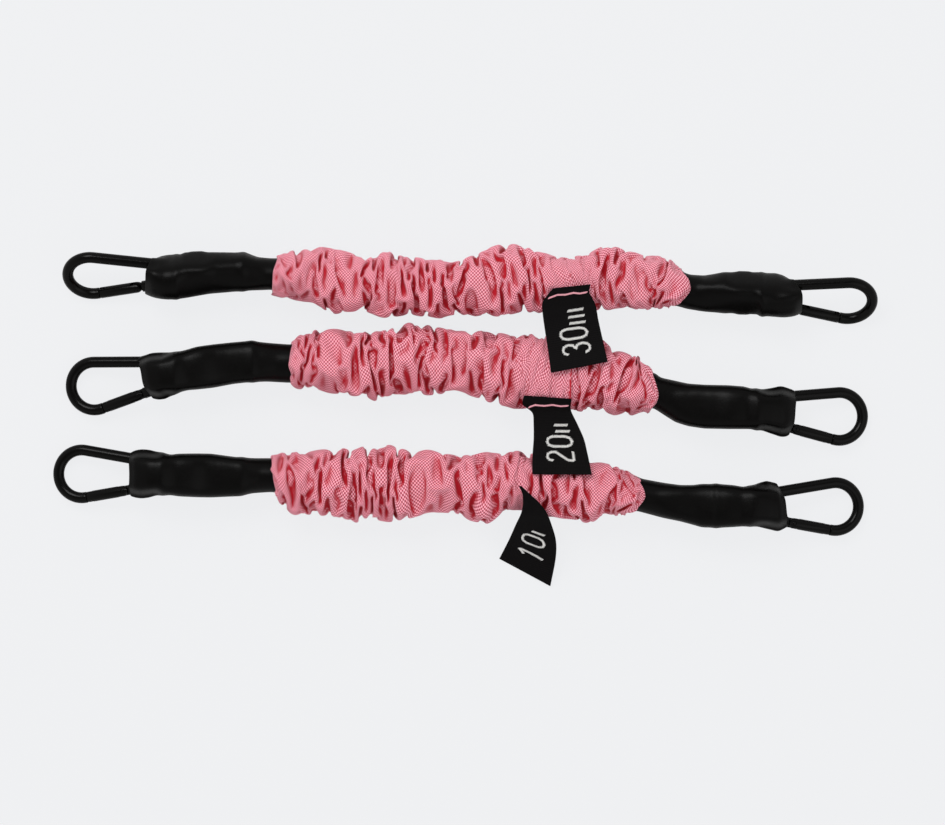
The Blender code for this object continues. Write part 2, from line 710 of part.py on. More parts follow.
# Assembly
def build_end(route, side, band, parts, tools, finishes):
    """Make one end of a band: the cuff, binding and hook, with the gate on its rivet."""
    end = band.left if side == "left" else band.right
    tag = f"{band.name}_{side}"
    place = route.hook_place(side)
    anchor = add_object(f"end_frame_{tag}", None, parts, place=place)
    to_local = place.inverted()
    for stem, mesh, finish in (
            ("end_cuff", oval_shell("end_cuff", route, side, cuff_stations(end), CUFF_WALL, CUFF_SIDES),
             finishes["rubber"]),
            ("crimp_band", binding_mesh(route, side), finishes["steel"])):
        mesh.transform(to_local)
        add_object(f"{stem}_{tag}", mesh, parts, finish, anchor)

    body = add_object(f"hook_body_{tag}", hook_body_mesh(), parts, finishes["wire"], anchor)
    rivet_at = Matrix.Translation(gate_line(RIVET_AT))
    hinge_place = rivet_at @ Matrix.Rotation(FLARE, 4, "Z")
    hole_d = RIVET_D + 2 * GAP
    hole = cylinder_mesh("rivet_hole", hole_d / 2, WIRE_D * 2, PIN_SIDES, (0, 0, 0), UP)
    cut(body, hole, tools, place @ hinge_place)

    hinge = add_object(f"gate_frame_{tag}", None, parts, parent=anchor, place=hinge_place)
    add_object(f"gate_rivet_{tag}",
               cylinder_mesh("gate_rivet", RIVET_D / 2, WIRE_D * 0.98, PIN_SIDES, (0, 0, 0), UP),
               parts, finishes["steel"], hinge)
    gate = add_object(f"hook_gate_{tag}", gate_mesh(), parts, finishes["wire"], hinge)
    nose = NOSE_AT + GATE_END_GAP - RIVET_AT
    slot_half = TANG_T / 2 + SLOT_EASE
    pivot_slot = TANG_R + 0.0009
    cutters = (
        box_mesh("nose_slot", (nose - WIRE_D, -WIRE_D, -slot_half),
                 (nose + TONGUE_LENGTH + GATE_END_GAP, WIRE_D, slot_half)),
        box_mesh("pivot_slot", (-pivot_slot, -WIRE_D, -slot_half), (WIRE_D, WIRE_D, slot_half)),
        cylinder_mesh("cheek_hole", hole_d / 2, WIRE_D * 2, PIN_SIDES, (0, 0, 0), UP),
        cylinder_mesh("spring_bore", BORE_D / 2, BORE_DEPTH, PIN_SIDES,
                      (-pivot_slot - BORE_DEPTH / 2 + 0.0002, 0, 0), (1, 0, 0)))
    for cutter in cutters:
        cut(gate, cutter, tools, place @ hinge_place)
    plunger_end = -(TANG_R + GAP)
    add_object(f"gate_plunger_{tag}",
               cylinder_mesh("gate_plunger", PLUNGER_D / 2, PLUNGER_LENGTH, PIN_SIDES,
                             (plunger_end - PLUNGER_LENGTH / 2, 0, 0), (1, 0, 0)),
               parts, finishes["steel"], hinge)
    spring_stop = plunger_end - PLUNGER_LENGTH - GAP
    spring_start = -pivot_slot - BORE_DEPTH + 0.0002 + GAP
    add_object(f"gate_spring_{tag}", spring_mesh(spring_start, spring_stop - spring_start),
               parts, finishes["steel"], hinge)


def build_band(band, parts, tools, finishes):
    """Make one band: tube, sleeve, tag and thread, and both ends."""
    route = Route(band)
    add_object(f"latex_tube_{band.name}", tube_mesh(route), parts, finishes["latex"])
    add_object(f"fabric_sleeve_{band.name}", sleeve_mesh(route), parts, finishes["fabric"])
    tag = add_object(f"woven_tag_{band.name}", tag_mesh(band), parts, finishes["tag"])
    cloth = tag.modifiers.new("Thickness", "SOLIDIFY")
    cloth.thickness = TAG_T
    cloth.offset = 0.0
    add_object(f"tag_stitching_{band.name}", thread_curve(band), parts, finishes["thread"])
    for side in ("left", "right"):
        build_end(route, side, band, parts, tools, finishes)


def main():
    """Build the whole set."""
    clear_scene()
    parts = collection("Resistance band set")
    tools = collection("Cutters")
    finishes = {
        "fabric": material("Gathered pink fabric", PINK, 0.85),
        "thread": material("Pink sewing thread", THREAD_PINK, 0.8),
        "tag": material("Woven black tag", TAG_BLACK, 0.8),
        "rubber": material("Black shrunk rubber", BLACK, 0.42),
        "latex": material("Black latex", LATEX, 0.5),
        "wire": material("Black coated wire", BLACK, 0.28),
        "steel": material("Plated steel", STEEL, 0.35, 1.0),
    }
    for band in BANDS:
        build_band(band, parts, tools, finishes)


main()
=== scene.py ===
"""Dress a set of three resistance bands for a photograph from straight above.

Each band is a latex tube in a sleeve of woven cloth, gathered by simulation, with a shrunk
rubber cuff and a pear snap hook at each end and a woven label sewn on the sleeve.
The frame comes from the CAD part. All sizes are in metres, and the bands lie along X.
"""

import json
import logging
import math
from dataclasses import dataclass
from enum import Enum
from typing import Callable

import bmesh
import bpy
import numpy as np
from mathutils import Matrix, Vector, noise
from mathutils.bvhtree import BVHTree

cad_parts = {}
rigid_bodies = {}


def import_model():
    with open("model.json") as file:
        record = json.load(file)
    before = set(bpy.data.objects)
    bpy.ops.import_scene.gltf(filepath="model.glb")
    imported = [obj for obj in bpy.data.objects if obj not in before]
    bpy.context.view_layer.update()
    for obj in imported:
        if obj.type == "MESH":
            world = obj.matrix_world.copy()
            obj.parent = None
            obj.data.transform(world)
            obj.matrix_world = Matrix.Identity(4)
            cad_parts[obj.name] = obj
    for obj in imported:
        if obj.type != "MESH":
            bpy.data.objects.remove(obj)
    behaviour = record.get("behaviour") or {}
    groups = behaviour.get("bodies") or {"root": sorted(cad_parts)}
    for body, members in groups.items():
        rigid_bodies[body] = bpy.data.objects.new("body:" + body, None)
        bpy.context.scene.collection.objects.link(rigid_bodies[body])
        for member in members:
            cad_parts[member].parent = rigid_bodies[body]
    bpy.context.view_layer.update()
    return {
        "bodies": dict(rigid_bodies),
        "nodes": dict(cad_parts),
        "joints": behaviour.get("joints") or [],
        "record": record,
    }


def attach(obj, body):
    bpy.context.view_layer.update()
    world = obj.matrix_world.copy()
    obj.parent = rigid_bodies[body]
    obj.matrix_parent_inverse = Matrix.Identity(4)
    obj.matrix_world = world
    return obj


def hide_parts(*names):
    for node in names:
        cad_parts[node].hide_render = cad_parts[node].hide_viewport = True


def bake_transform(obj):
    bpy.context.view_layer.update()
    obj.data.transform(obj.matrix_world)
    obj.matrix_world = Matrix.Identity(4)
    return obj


LOG = logging.getLogger("resistance_bands")
UP = Vector((0, 0, 1))
TURN = 2 * math.pi

# The CAD part's driving sizes
HOOK_LENGTH = 0.050
HOOK_WIDTH = 0.025
HOOK_NARROW = 0.015
WIRE_R = 0.0047 / 2
TUBE_D = 0.0125
FLOOR_GAP = 0.0003
CUFF_TUCK = 0.009
AXIS_Z = 0.0124

# Worked out from them
BOW_R = HOOK_WIDTH / 2 - WIRE_R
HEEL_R = HOOK_NARROW / 2 - WIRE_R
BOW_AT = HOOK_WIDTH / 2
HEEL_AT = HOOK_LENGTH - HOOK_NARROW / 2
FLARE = math.asin((BOW_R - HEEL_R) / (HEEL_AT - BOW_AT))

FULLNESS = 1.8
QUICK_FULLNESS = 1.2


class Side(Enum):
    """An end of a band."""

    LEFT = "left"
    RIGHT = "right"


@dataclass(frozen=True)
class EndSpec:
    """One end of a band, as the photograph shows it.

    The mouth of the cuff and the hem of the sleeve each have three X values: at their upper
    edge, middle and lower edge. An outline is a row of (x, top, bottom), and a ridge of the
    cuff is (x, height, spread).
    """

    tip: tuple[float, float]
    heading: float
    droop: float
    roll: float
    mouth: float
    sleeve: float
    mouth_x: tuple[float, float, float]
    hem_x: tuple[float, float, float]
    outline: tuple[tuple[float, float, float], ...]
    ridges: tuple[tuple[float, float, float], ...]


@dataclass(frozen=True)
class BandSpec:
    """One band: its line, the outline of its sleeve and its label.

    An outline is a row of (x, top, bottom), and the label's rows are the left and right
    edge of the label, from its sewn top down. Its number is stretched by reading and sheared
    by slant.
    """

    name: str
    left: EndSpec
    right: EndSpec
    line: tuple[tuple[float, float], ...]
    sleeve: tuple[tuple[float, float, float], ...]
    label: tuple[tuple[tuple[float, float, float], tuple[float, float, float]], ...]
    level: int
    seed: int
    reading: float = 1.0
    slant: float = 0.0
    seam_shows: bool = True


BANDS = (
    BandSpec(
        "30",
        EndSpec((-0.1708, 0.0591), 1.2, 4.8, 42.0, 0.0370, 0.0900,
                (-0.1338, -0.1345, -0.1351), (-0.0788, -0.0806, -0.0811),
                ((-0.1353, 0.0653, 0.0513), (-0.1334, 0.0656, 0.0504), (-0.1312, 0.0667, 0.0497),
                 (-0.1287, 0.0677, 0.0492), (-0.1256, 0.0683, 0.0489), (-0.1182, 0.0681, 0.0497),
                 (-0.1081, 0.0693, 0.0515), (-0.0928, 0.0691, 0.0528), (-0.0877, 0.0672, 0.0530),
                 (-0.0826, 0.0667, 0.0532)),
                ((-0.1222, 0.0005, 0.0011), (-0.0940, 0.0004, 0.0014))),
        EndSpec((0.1750, 0.0477), -4.5, 4.8, 42.0, 0.0355, 0.0815,
                (0.1398, 0.1418, 0.1418), (0.0915, 0.0948, 0.0862),
                ((0.0886, 0.0597, 0.0466), (0.0945, 0.0598, 0.0450), (0.1013, 0.0594, 0.0439),
                 (0.1089, 0.0606, 0.0434), (0.1186, 0.0610, 0.0432), (0.1239, 0.0601, 0.0429),
                 (0.1257, 0.0605, 0.0421), (0.1318, 0.0605, 0.0416), (0.1347, 0.0596, 0.0414),
                 (0.1372, 0.0582, 0.0416), (0.1396, 0.0561, 0.0420), (0.1412, 0.0540, 0.0426),
                 (0.1425, 0.0515, 0.0434)),
                ((0.1254, 0.0006, 0.0013), (0.1100, 0.0002, 0.0020))),
        ((-0.100, 0.0606), (-0.085, 0.0597), (-0.057, 0.0572), (-0.037, 0.0545), (-0.014, 0.0540),
         (0.006, 0.0555), (0.026, 0.0580), (0.057, 0.0585), (0.078, 0.0574), (0.100, 0.0528)),
        ((-0.0810, 0.0668, 0.0510), (-0.0758, 0.0693, 0.0489), (-0.0644, 0.0710, 0.0481),
         (-0.0568, 0.0718, 0.0426), (-0.0492, 0.0689, 0.0443), (-0.0415, 0.0659, 0.0443),
         (-0.0339, 0.0701, 0.0405), (-0.0263, 0.0676, 0.0426), (-0.0148, 0.0663, 0.0417),
         (-0.0110, 0.0667, 0.0405), (-0.0072, 0.0642, 0.0426), (0.0081, 0.0697, 0.0422),
         (0.0157, 0.0731, 0.0422), (0.0233, 0.0722, 0.0439), (0.0309, 0.0697, 0.0434),
         (0.0424, 0.0663, 0.0439), (0.0500, 0.0676, 0.0443), (0.0595, 0.0725, 0.0445),
         (0.0691, 0.0701, 0.0456), (0.0767, 0.0672, 0.0443), (0.0843, 0.0672, 0.0472),
         (0.0881, 0.0650, 0.0468), (0.0935, 0.0617, 0.0456)),
        (((0.0372, 0.0536, 0.0257), (0.0530, 0.0553, 0.0259)),
         ((0.0345, 0.0504, 0.0245), (0.0524, 0.0522, 0.0249)),
         ((0.0326, 0.0472, 0.0236), (0.0538, 0.0494, 0.0242)),
         ((0.0328, 0.0430, 0.0229), (0.0552, 0.0465, 0.0236)),
         ((0.0336, 0.0370, 0.0225), (0.0564, 0.0400, 0.0229)),
         ((0.0351, 0.0272, 0.0240), (0.0584, 0.0310, 0.0234)),
         ((0.0363, 0.0180, 0.0264), (0.0602, 0.0227, 0.0258))),
        3, 5),
    BandSpec(
        "20",
        EndSpec((-0.1695, 0.0104), 10.0, 13.0, 0.0, 0.0352, 0.0960,
                (-0.1407, -0.1370, -0.1337), (-0.0730, -0.0737, -0.0727),
                ((-0.1388, 0.0236, 0.0100), (-0.1363, 0.0253, 0.0086), (-0.1331, 0.0266, 0.0073),
                 (-0.1300, 0.0268, 0.0066), (-0.1271, 0.0268, 0.0069), (-0.1222, 0.0268, 0.0094),
                 (-0.1173, 0.0281, 0.0107), (-0.1137, 0.0292, 0.0109), (-0.1066, 0.0302, 0.0117),
                 (-0.0982, 0.0311, 0.0133), (-0.0911, 0.0317, 0.0141), (-0.0840, 0.0309, 0.0143),
                 (-0.0749, 0.0302, 0.0138)),
                ((-0.1225, 0.0005, 0.0012), (-0.0900, 0.0004, 0.0013))),
        EndSpec((0.1712, -0.0015), -5.2, 13.0, 0.0, 0.0342, 0.0900,
                (0.1418, 0.1400, 0.1389), (0.0780, 0.0812, 0.0772),
                ((0.0800, 0.0166, 0.0030), (0.0850, 0.0157, -0.0003), (0.0891, 0.0148, -0.0029),
                 (0.0945, 0.0136, -0.0046), (0.1013, 0.0131, -0.0056), (0.1114, 0.0129, -0.0058),
                 (0.1182, 0.0124, -0.0058), (0.1216, 0.0113, -0.0058), (0.1257, 0.0111, -0.0063),
                 (0.1297, 0.0117, -0.0078), (0.1331, 0.0123, -0.0087), (0.1364, 0.0118, -0.0089),
                 (0.1390, 0.0110, -0.0074), (0.1406, 0.0097, -0.0063)),
                ((0.1233, 0.0006, 0.0011), (0.1343, 0.0004, 0.0020))),
        ((-0.100, 0.0216), (-0.078, 0.0222), (-0.053, 0.0220), (-0.030, 0.0229), (-0.007, 0.0229),
         (0.012, 0.0214), (0.030, 0.0183), (0.061, 0.0146), (0.078, 0.0110), (0.096, 0.0052)),
        ((-0.0745, 0.0308, 0.0132), (-0.0720, 0.0333, 0.0108), (-0.0644, 0.0362, 0.0117),
         (-0.0568, 0.0371, 0.0091), (-0.0492, 0.0358, 0.0087), (-0.0377, 0.0354, 0.0061),
         (-0.0301, 0.0371, 0.0087), (-0.0225, 0.0400, 0.0091), (-0.0110, 0.0375, 0.0083),
         (-0.0034, 0.0358, 0.0108), (0.0081, 0.0358, 0.0061), (0.0157, 0.0350, 0.0040),
         (0.0195, 0.0328, 0.0036), (0.0271, 0.0345, 0.0023), (0.0420, 0.0340, 0.0016),
         (0.0576, 0.0333, 0.0023), (0.0614, 0.0286, 0.0006), (0.0691, 0.0256, 0.0002),
         (0.0767, 0.0235, 0.0019), (0.0809, 0.0193, 0.0015)),
        (((0.0248, 0.0084, 0.0226), (0.0451, 0.0069, 0.0226)),
         ((0.0243, 0.0049, 0.0214), (0.0447, 0.0046, 0.0212)),
         ((0.0262, 0.0032, 0.0208), (0.0447, 0.0030, 0.0205)),
         ((0.0286, 0.0008, 0.0202), (0.0452, 0.0011, 0.0199)),
         ((0.0290, -0.0040, 0.0197), (0.0478, -0.0042, 0.0196)),
         ((0.0290, -0.0100, 0.0199), (0.0503, -0.0100, 0.0200)),
         ((0.0286, -0.0155, 0.0209), (0.0517, -0.0158, 0.0211)),
         ((0.0284, -0.0200, 0.0228), (0.0526, -0.0202, 0.0228)),
         ((0.0284, -0.0247, 0.0250), (0.0535, -0.0249, 0.0250))),
        2, 6),
    BandSpec(
        "10",
        EndSpec((-0.1750, -0.0248), 0.0, 13.0, 0.0, 0.0345, 0.0935,
                (-0.1436, -0.1422, -0.1434), (-0.0815, -0.0805, -0.0789),
                ((-0.1420, -0.0158, -0.0342), (-0.1400, -0.0147, -0.0349), (-0.1373, -0.0142, -0.0353),
                 (-0.1339, -0.0144, -0.0349), (-0.1305, -0.0153, -0.0338), (-0.1244, -0.0166, -0.0338),
                 (-0.1217, -0.0161, -0.0343), (-0.1136, -0.0160, -0.0347), (-0.1075, -0.0161, -0.0348),
                 (-0.0966, -0.0176, -0.0343), (-0.0898, -0.0180, -0.0330), (-0.0824, -0.0180, -0.0325)),
                ((-0.1280, 0.0004, 0.0012), (-0.0945, 0.0003, 0.0015))),
        EndSpec((0.1695, -0.0388), -0.5, 13.0, 0.0, 0.0340, 0.0945,
                (0.1337, 0.1362, 0.1384), (0.0728, 0.0756, 0.0676),
                ((0.0728, -0.0263, -0.0405), (0.0840, -0.0284, -0.0435), (0.0911, -0.0294, -0.0449),
                 (0.0967, -0.0294, -0.0464), (0.1003, -0.0289, -0.0475), (0.1081, -0.0290, -0.0476),
                 (0.1137, -0.0294, -0.0473), (0.1179, -0.0302, -0.0470), (0.1222, -0.0296, -0.0469),
                 (0.1243, -0.0285, -0.0472), (0.1278, -0.0276, -0.0481), (0.1306, -0.0283, -0.0487),
                 (0.1335, -0.0297, -0.0488), (0.1356, -0.0308, -0.0478), (0.1374, -0.0318, -0.0464)),
                ((0.1063, 0.0005, 0.0008), (0.1208, 0.0004, 0.0014), (0.1326, 0.0005, 0.0014))),
        ((-0.107, -0.0251), (-0.084, -0.0256), (-0.053, -0.0284), (-0.030, -0.0290),
         (-0.007, -0.0286), (0.012, -0.0303), (0.040, -0.0314), (0.061, -0.0318),
         (0.080, -0.0345), (0.098, -0.0378)),
        ((-0.0825, -0.0165, -0.0338), (-0.0797, -0.0155, -0.0360), (-0.0758, -0.0159, -0.0417),
         (-0.0568, -0.0142, -0.0426), (-0.0453, -0.0138, -0.0456), (-0.0377, -0.0125, -0.0443),
         (-0.0301, -0.0125, -0.0456), (-0.0225, -0.0155, -0.0439), (-0.0148, -0.0142, -0.0409),
         (-0.0034, -0.0172, -0.0417), (0.0081, -0.0155, -0.0472), (0.0157, -0.0159, -0.0417),
         (0.0195, -0.0146, -0.0388), (0.0330, -0.0160, -0.0425), (0.0462, -0.0172, -0.0443),
         (0.0538, -0.0201, -0.0464), (0.0576, -0.0197, -0.0422), (0.0653, -0.0218, -0.0417),
         (0.0750, -0.0265, -0.0409)),
        (((0.0228, -0.0298, 0.0268), (0.0236, -0.0297, 0.0270)),
         ((0.0243, -0.0332, 0.0262), (0.0272, -0.0330, 0.0269)),
         ((0.0244, -0.0374, 0.0250), (0.0316, -0.0372, 0.0262)),
         ((0.0236, -0.0416, 0.0230), (0.0344, -0.0410, 0.0244)),
         ((0.0216, -0.0460, 0.0178), (0.0366, -0.0464, 0.0200)),
         ((0.0189, -0.0522, 0.0098), (0.0385, -0.0534, 0.0150)),
         ((0.0168, -0.0565, 0.0046), (0.0384, -0.0610, 0.0082)),
         ((0.0146, -0.0608, 0.0014), (0.0363, -0.0725, 0.0014))),
        1, 8, 1.22, 0.33, False),
)


# Small helpers
def smooth_step(value: float) -> float:
    """Ease from 0 to 1."""
    value = min(max(value, 0.0), 1.0)
    return value * value * (3 - 2 * value)


def smooth_steps(values: np.ndarray) -> np.ndarray:
    """Ease many values from 0 to 1."""
    values = np.clip(values, 0, 1)
    return values * values * (3 - 2 * values)


def hermite(a: Vector, b: Vector, slope_a: Vector, slope_b: Vector, u: float) -> Vector:
    """Return a point of a cubic between a and b."""
    return (a * (2 * u ** 3 - 3 * u ** 2 + 1) + slope_a * (u ** 3 - 2 * u ** 2 + u)
            + b * (3 * u ** 2 - 2 * u ** 3) + slope_b * (u ** 3 - u ** 2))


def through(points: list[Vector], share: float) -> Vector:
    """Follow a smooth curve through several points.

    Args:
        points: What the curve runs through, each an equal share of the way on.
        share: How far along the curve, from 0 to 1.

    Returns:
        The point there.
    """
    last = len(points) - 1
    at = min(max(share, 0.0), 1.0) * last
    i = min(int(at), last - 1)
    slopes = [(points[min(k + 1, last)] - points[max(k - 1, 0)]) / (1 if k in (0, last) else 2)
              for k in (i, i + 1)]
    return hermite(points[i], points[i + 1], slopes[0], slopes[1], at - i)


def distances(points: list[Vector]) -> np.ndarray:
    """Return how far along its path each of several points lies."""
    return np.concatenate([[0.0], np.cumsum([(b - a).length for a, b in zip(points, points[1:])])])


def bent_grid(columns: int, rows: int, place: Callable[[float, float], Vector], closed: bool = True,
              capped: bool = False, flat: tuple[float, float] | None = None) -> bmesh.types.BMesh:
    """Bend a grid of quads into a sheet or a tube.

    Args:
        columns: Quads across, or around a tube.
        rows: Quads along.
        place: Gives the point at a share across and a share along.
        closed: Whether the two long sides meet.
        capped: Whether a tube's ends are filled.
        flat: Width and length of cloth, whose UVs are in metres. Others run from 0 to 1.

    Returns:
        The bmesh.
    """
    bm = bmesh.new()
    bm.loops.layers.uv.new("cloth" if flat else "shape")
    bmesh.ops.create_grid(bm, x_segments=columns, y_segments=rows, size=0.5, calc_uvs=True)
    for vert in bm.verts:
        vert.co = place(vert.co.x + 0.5, vert.co.y + 0.5)
    if closed:
        bmesh.ops.remove_doubles(bm, verts=bm.verts, dist=2e-6)
    if capped:
        bmesh.ops.holes_fill(bm, edges=[e for e in bm.edges if e.is_boundary], sides=0)
    if flat:
        uv = bm.loops.layers.uv.active
        for face in bm.faces:
            for loop in face.loops:
                loop[uv].uv.x *= flat[0]
                loop[uv].uv.y *= flat[1]
    return bm


def mesh_of(name: str, bm: bmesh.types.BMesh) -> bpy.types.Mesh:
    """Turn a bmesh into a mesh and free it.

    Args:
        name: What it is called.
        bm: Its shape.

    Returns:
        The mesh.
    """
    mesh = bpy.data.meshes.new(name)
    bm.to_mesh(mesh)
    bm.free()
    return mesh


def linked(name: str, data: bpy.types.ID) -> bpy.types.Object:
    """Put an object of some data into the scene.

    Args:
        name: What it is called.
        data: Its mesh, lamp or camera.

    Returns:
        The object.
    """
    obj = bpy.data.objects.new(name, data)
    bpy.context.scene.collection.objects.link(obj)
    return obj


def add_piece(name: str, bm: bmesh.types.BMesh, material: bpy.types.Material, body: str | None,
              sharp: float = 40.0) -> bpy.types.Object:
    """Make a smooth object of a bmesh and report it.

    Args:
        name: What it is called.
        bm: Its shape, which is freed.
        material: Its finish.
        body: The body that carries it, or None.
        sharp: The least angle of a sharp edge, in degrees.

    Returns:
        The object.
    """
    bmesh.ops.recalc_face_normals(bm, faces=bm.faces)
    mesh = mesh_of(name, bm)
    mesh.shade_smooth()
    mesh.set_sharp_from_angle(angle=math.radians(sharp))
    mesh.materials.append(material)
    obj = linked(name, mesh)
    if body is not None:
        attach(obj, body)
    LOG.info("%s: %d faces", name, len(mesh.polygons))
    return obj


def thicken(obj: bpy.types.Object, thickness: float, offset: float) -> None:
    """Give a sheet its thickness with a live modifier."""
    solid = obj.modifiers.new("Thickness", "SOLIDIFY")
    solid.thickness, solid.offset = thickness, offset


def evaluated(obj: bpy.types.Object) -> bpy.types.Mesh:
    """Return a copy of an object's mesh with its modifiers applied.

    Args:
        obj: The object.

    Returns:
        The copy.
    """
    bpy.context.view_layer.update()
    graph = bpy.context.evaluated_depsgraph_get()
    return bpy.data.meshes.new_from_object(obj.evaluated_get(graph), depsgraph=graph)


def tree_of(objects: list[bpy.types.Object]) -> BVHTree:
    """Gather the faces of several untransformed objects.

    Args:
        objects: Whose faces they are.

    Returns:
        One search tree over all of them.
    """
    verts: list[Vector] = []
    faces: list[tuple[int, ...]] = []
    for obj in objects:
        first = len(verts)
        verts += [v.co.copy() for v in obj.data.vertices]
        faces += [tuple(first + i for i in p.vertices) for p in obj.data.polygons]
    return BVHTree.FromPolygons(verts, faces)


# Shader nodes
class Value:
    """A shader socket that takes part in sums like a number."""

    def __init__(self, sheet: "NodeSheet", socket: bpy.types.NodeSocket) -> None:
        """Keep the socket and the sheet that it is on."""
        self.sheet, self.socket = sheet, socket

    def __add__(self, other: "Value | float") -> "Value":
        """Add."""
        return self.sheet.math("ADD", self, other)

    def __sub__(self, other: "Value | float") -> "Value":
        """Subtract."""
        return self.sheet.math("SUBTRACT", self, other)

    def __mul__(self, other: "Value | float") -> "Value":
        """Multiply."""
        return self.sheet.math("MULTIPLY", self, other)

    __radd__ = __add__

    def clamped(self) -> "Value":
        """Keep between 0 and 1."""
        return self.sheet.math("MINIMUM", self.sheet.math("MAXIMUM", self, 0.0), 1.0)

    def sine(self) -> "Value":
        """Return the sine."""
        return self.sheet.math("SINE", self)


Input = Value | float | tuple


class NodeSheet:
    """The node tree of a material or of the world, with its own shader."""

    def __init__(self, name: str, kind: str = "materials") -> None:
        """Start a material, or another kind of data block, with the usual two nodes.

        Args:
            name: What it is called.
            kind: Which list of Blender's data it joins.
        """
        self.owner = getattr(bpy.data, kind).new(name)
        self.owner.use_nodes = True
        self.tree = self.owner.node_tree
        self.shader = self.tree.nodes.get("Principled BSDF") or self.tree.nodes["Background"]

    def feed(self, socket: bpy.types.NodeSocket, value: Input) -> None:
        """Link a value to a socket, or set a constant.

        Args:
            socket: Where it goes in.
            value: A Value, a number, or a tuple with or without its alpha.
        """
        if isinstance(value, Value):
            self.tree.links.new(value.socket, socket)
        elif isinstance(value, tuple) and len(value) == 3 and socket.type == "RGBA":
            socket.default_value = (*value, 1.0)
        else:
            socket.default_value = value

    def node(self, kind: str, inputs: dict[int | str, Input], **settings: str) -> bpy.types.Node:
        """Add a node.

        Args:
            kind: Its type.
            inputs: What goes in, by the socket's name or number.
            settings: Its own settings.

        Returns:
            The node.
        """
        made = self.tree.nodes.new(kind)
        for name, value in settings.items():
            setattr(made, name, value)
        for name, value in inputs.items():
            self.feed(made.inputs[name], value)
        return made

    def value(self, kind: str, inputs: dict[int | str, Input], output: int | str = 0,
              **settings: str) -> Value:
        """Add a node and return one of its outputs."""
        return Value(self, self.node(kind, inputs, **settings).outputs[output])

    def math(self, operation: str, *values: Input) -> Value:
        """Work out a sum."""
        return self.value("ShaderNodeMath", dict(enumerate(values)), operation=operation)

    def mix(self, first: Input, second: Input, factor: Input) -> Value:
        """Mix two colours."""
        return self.value("ShaderNodeMix", {0: factor, 6: first, 7: second}, 2, data_type="RGBA")

    def scaled(self, colour: Input, factor: Input) -> Value:
        """Multiply a colour by a number."""
        return self.value("ShaderNodeVectorMath", {0: colour, 3: factor}, operation="SCALE")

    def noise(self, scale: float, detail: float = 2.0) -> Value:
        """Return smooth noise from 0 to 1 over the object."""
        place = self.value("ShaderNodeTexCoord", {}, "Object")
        return self.value("ShaderNodeTexNoise", {"Vector": place, "Scale": scale, "Detail": detail})

    def attribute(self, name: str) -> Value:
        """Return a mesh attribute's value."""
        return self.value("ShaderNodeAttribute", {}, "Fac", attribute_name=name)

    def uv(self, name: str) -> tuple[Value, Value]:
        """Return both coordinates of a UV map.

        Args:
            name: Which map.

        Returns:
            How far across and how far along.
        """
        both = self.value("ShaderNodeUVMap", {}, uv_map=name)
        parts = self.node("ShaderNodeSeparateXYZ", {"Vector": both})
        return Value(self, parts.outputs[0]), Value(self, parts.outputs[1])

    def bump(self, height: Value, distance: float, strength: float = 1.0) -> None:
        """Feed the shader's normal from a height."""
        relief = {"Height": height, "Distance": distance, "Strength": strength}
        self.surface(Normal=self.value("ShaderNodeBump", relief))

    def surface(self, **inputs: Input) -> None:
        """Feed the shader's own sockets, named with underscores."""
        for name, value in inputs.items():
            self.feed(self.shader.inputs[name.replace("_", " ")], value)


# Finishes
@dataclass(frozen=True)
class GatheredCloth:
    """Two-tone plain weave, with painted shade: a deeper red in the creases and pockets of the gathers.
    """

    light: tuple = (1.0, 0.46, 0.55)
    base: tuple = (0.40, 0.034, 0.062)
    # Painted shade: the deep red that the creases and pockets of the gathers are painted with.
    painted_shade: tuple = (0.46, 0.010, 0.022)
    fuzz: tuple = (1.0, 0.75, 0.8, 1.0)
    yarns: float = 0.00148
    height: float = 0.00016
    contrast: float = 1.5
    lightness: float = 0.45
    patches: float = 0.3
    pocket_shade_from: float = 0.31
    depth: float = 1.8

    def build(self) -> bpy.types.Material:
        """Return the material.

        Returns:
            The material.
        """
        sheet = NodeSheet("gathered_fabric")
        across, along = sheet.uv("cloth")
        turn = TURN / self.yarns
        check = (across * turn).sine() * (along * turn).sine()
        patch = (sheet.noise(260.0) - 0.5) * self.patches
        light = ((check * self.contrast + self.lightness) + patch).clamped()
        # Painted shade: the crease and pocket masks mix in the deep red that stands for the shade in
        # the folds.
        hollow = (sheet.attribute("hollow") - self.pocket_shade_from) * self.depth
        shade = (sheet.attribute("crease") + hollow).clamped()
        colour = sheet.mix(sheet.mix(self.base, self.light, light), self.painted_shade, shade)
        sheet.surface(Base_Color=colour, Roughness=0.85, Sheen_Weight=0.15, Sheen_Roughness=0.5,
                      Sheen_Tint=self.fuzz, Specular_IOR_Level=0.15)
        sheet.bump(check * 0.5, self.height)
        return sheet.owner


@dataclass(frozen=True)
class ShrunkRubber:
    """Black satin rubber with a faint unevenness."""

    colour: tuple = (0.0014, 0.0012, 0.0011)
    roughness: float = 0.34
    mottle: float = 0.14
    height: float = 0.0006

    def build(self) -> bpy.types.Material:
        """Return the material.

        Returns:
            The material.
        """
        sheet = NodeSheet("shrunk_rubber")
        grain, swell = sheet.noise(900.0, 3.0), sheet.noise(75.0)
        sheet.surface(Base_Color=self.colour, Roughness=self.roughness + (grain - 0.5) * self.mottle,
                      Specular_IOR_Level=0.075)
        sheet.bump(grain * 0.12 + swell, self.height, 0.35)
        return sheet.owner


@dataclass(frozen=True)
class CoatedWire:
    """Black paint on steel wire."""

    colour: tuple = (0.0014, 0.0012, 0.0011)
    roughness: float = 0.19
    mottle: float = 0.12
    height: float = 0.00006

    def build(self) -> bpy.types.Material:
        """Return the material.

        Returns:
            The material.
        """
        sheet = NodeSheet("coated_wire")
        grain = sheet.noise(1400.0, 3.0)
        sheet.surface(Base_Color=self.colour, Roughness=self.roughness + (grain - 0.5) * self.mottle,
                      Specular_IOR_Level=0.10)
        sheet.bump(grain, self.height, 0.5)
        return sheet.owner


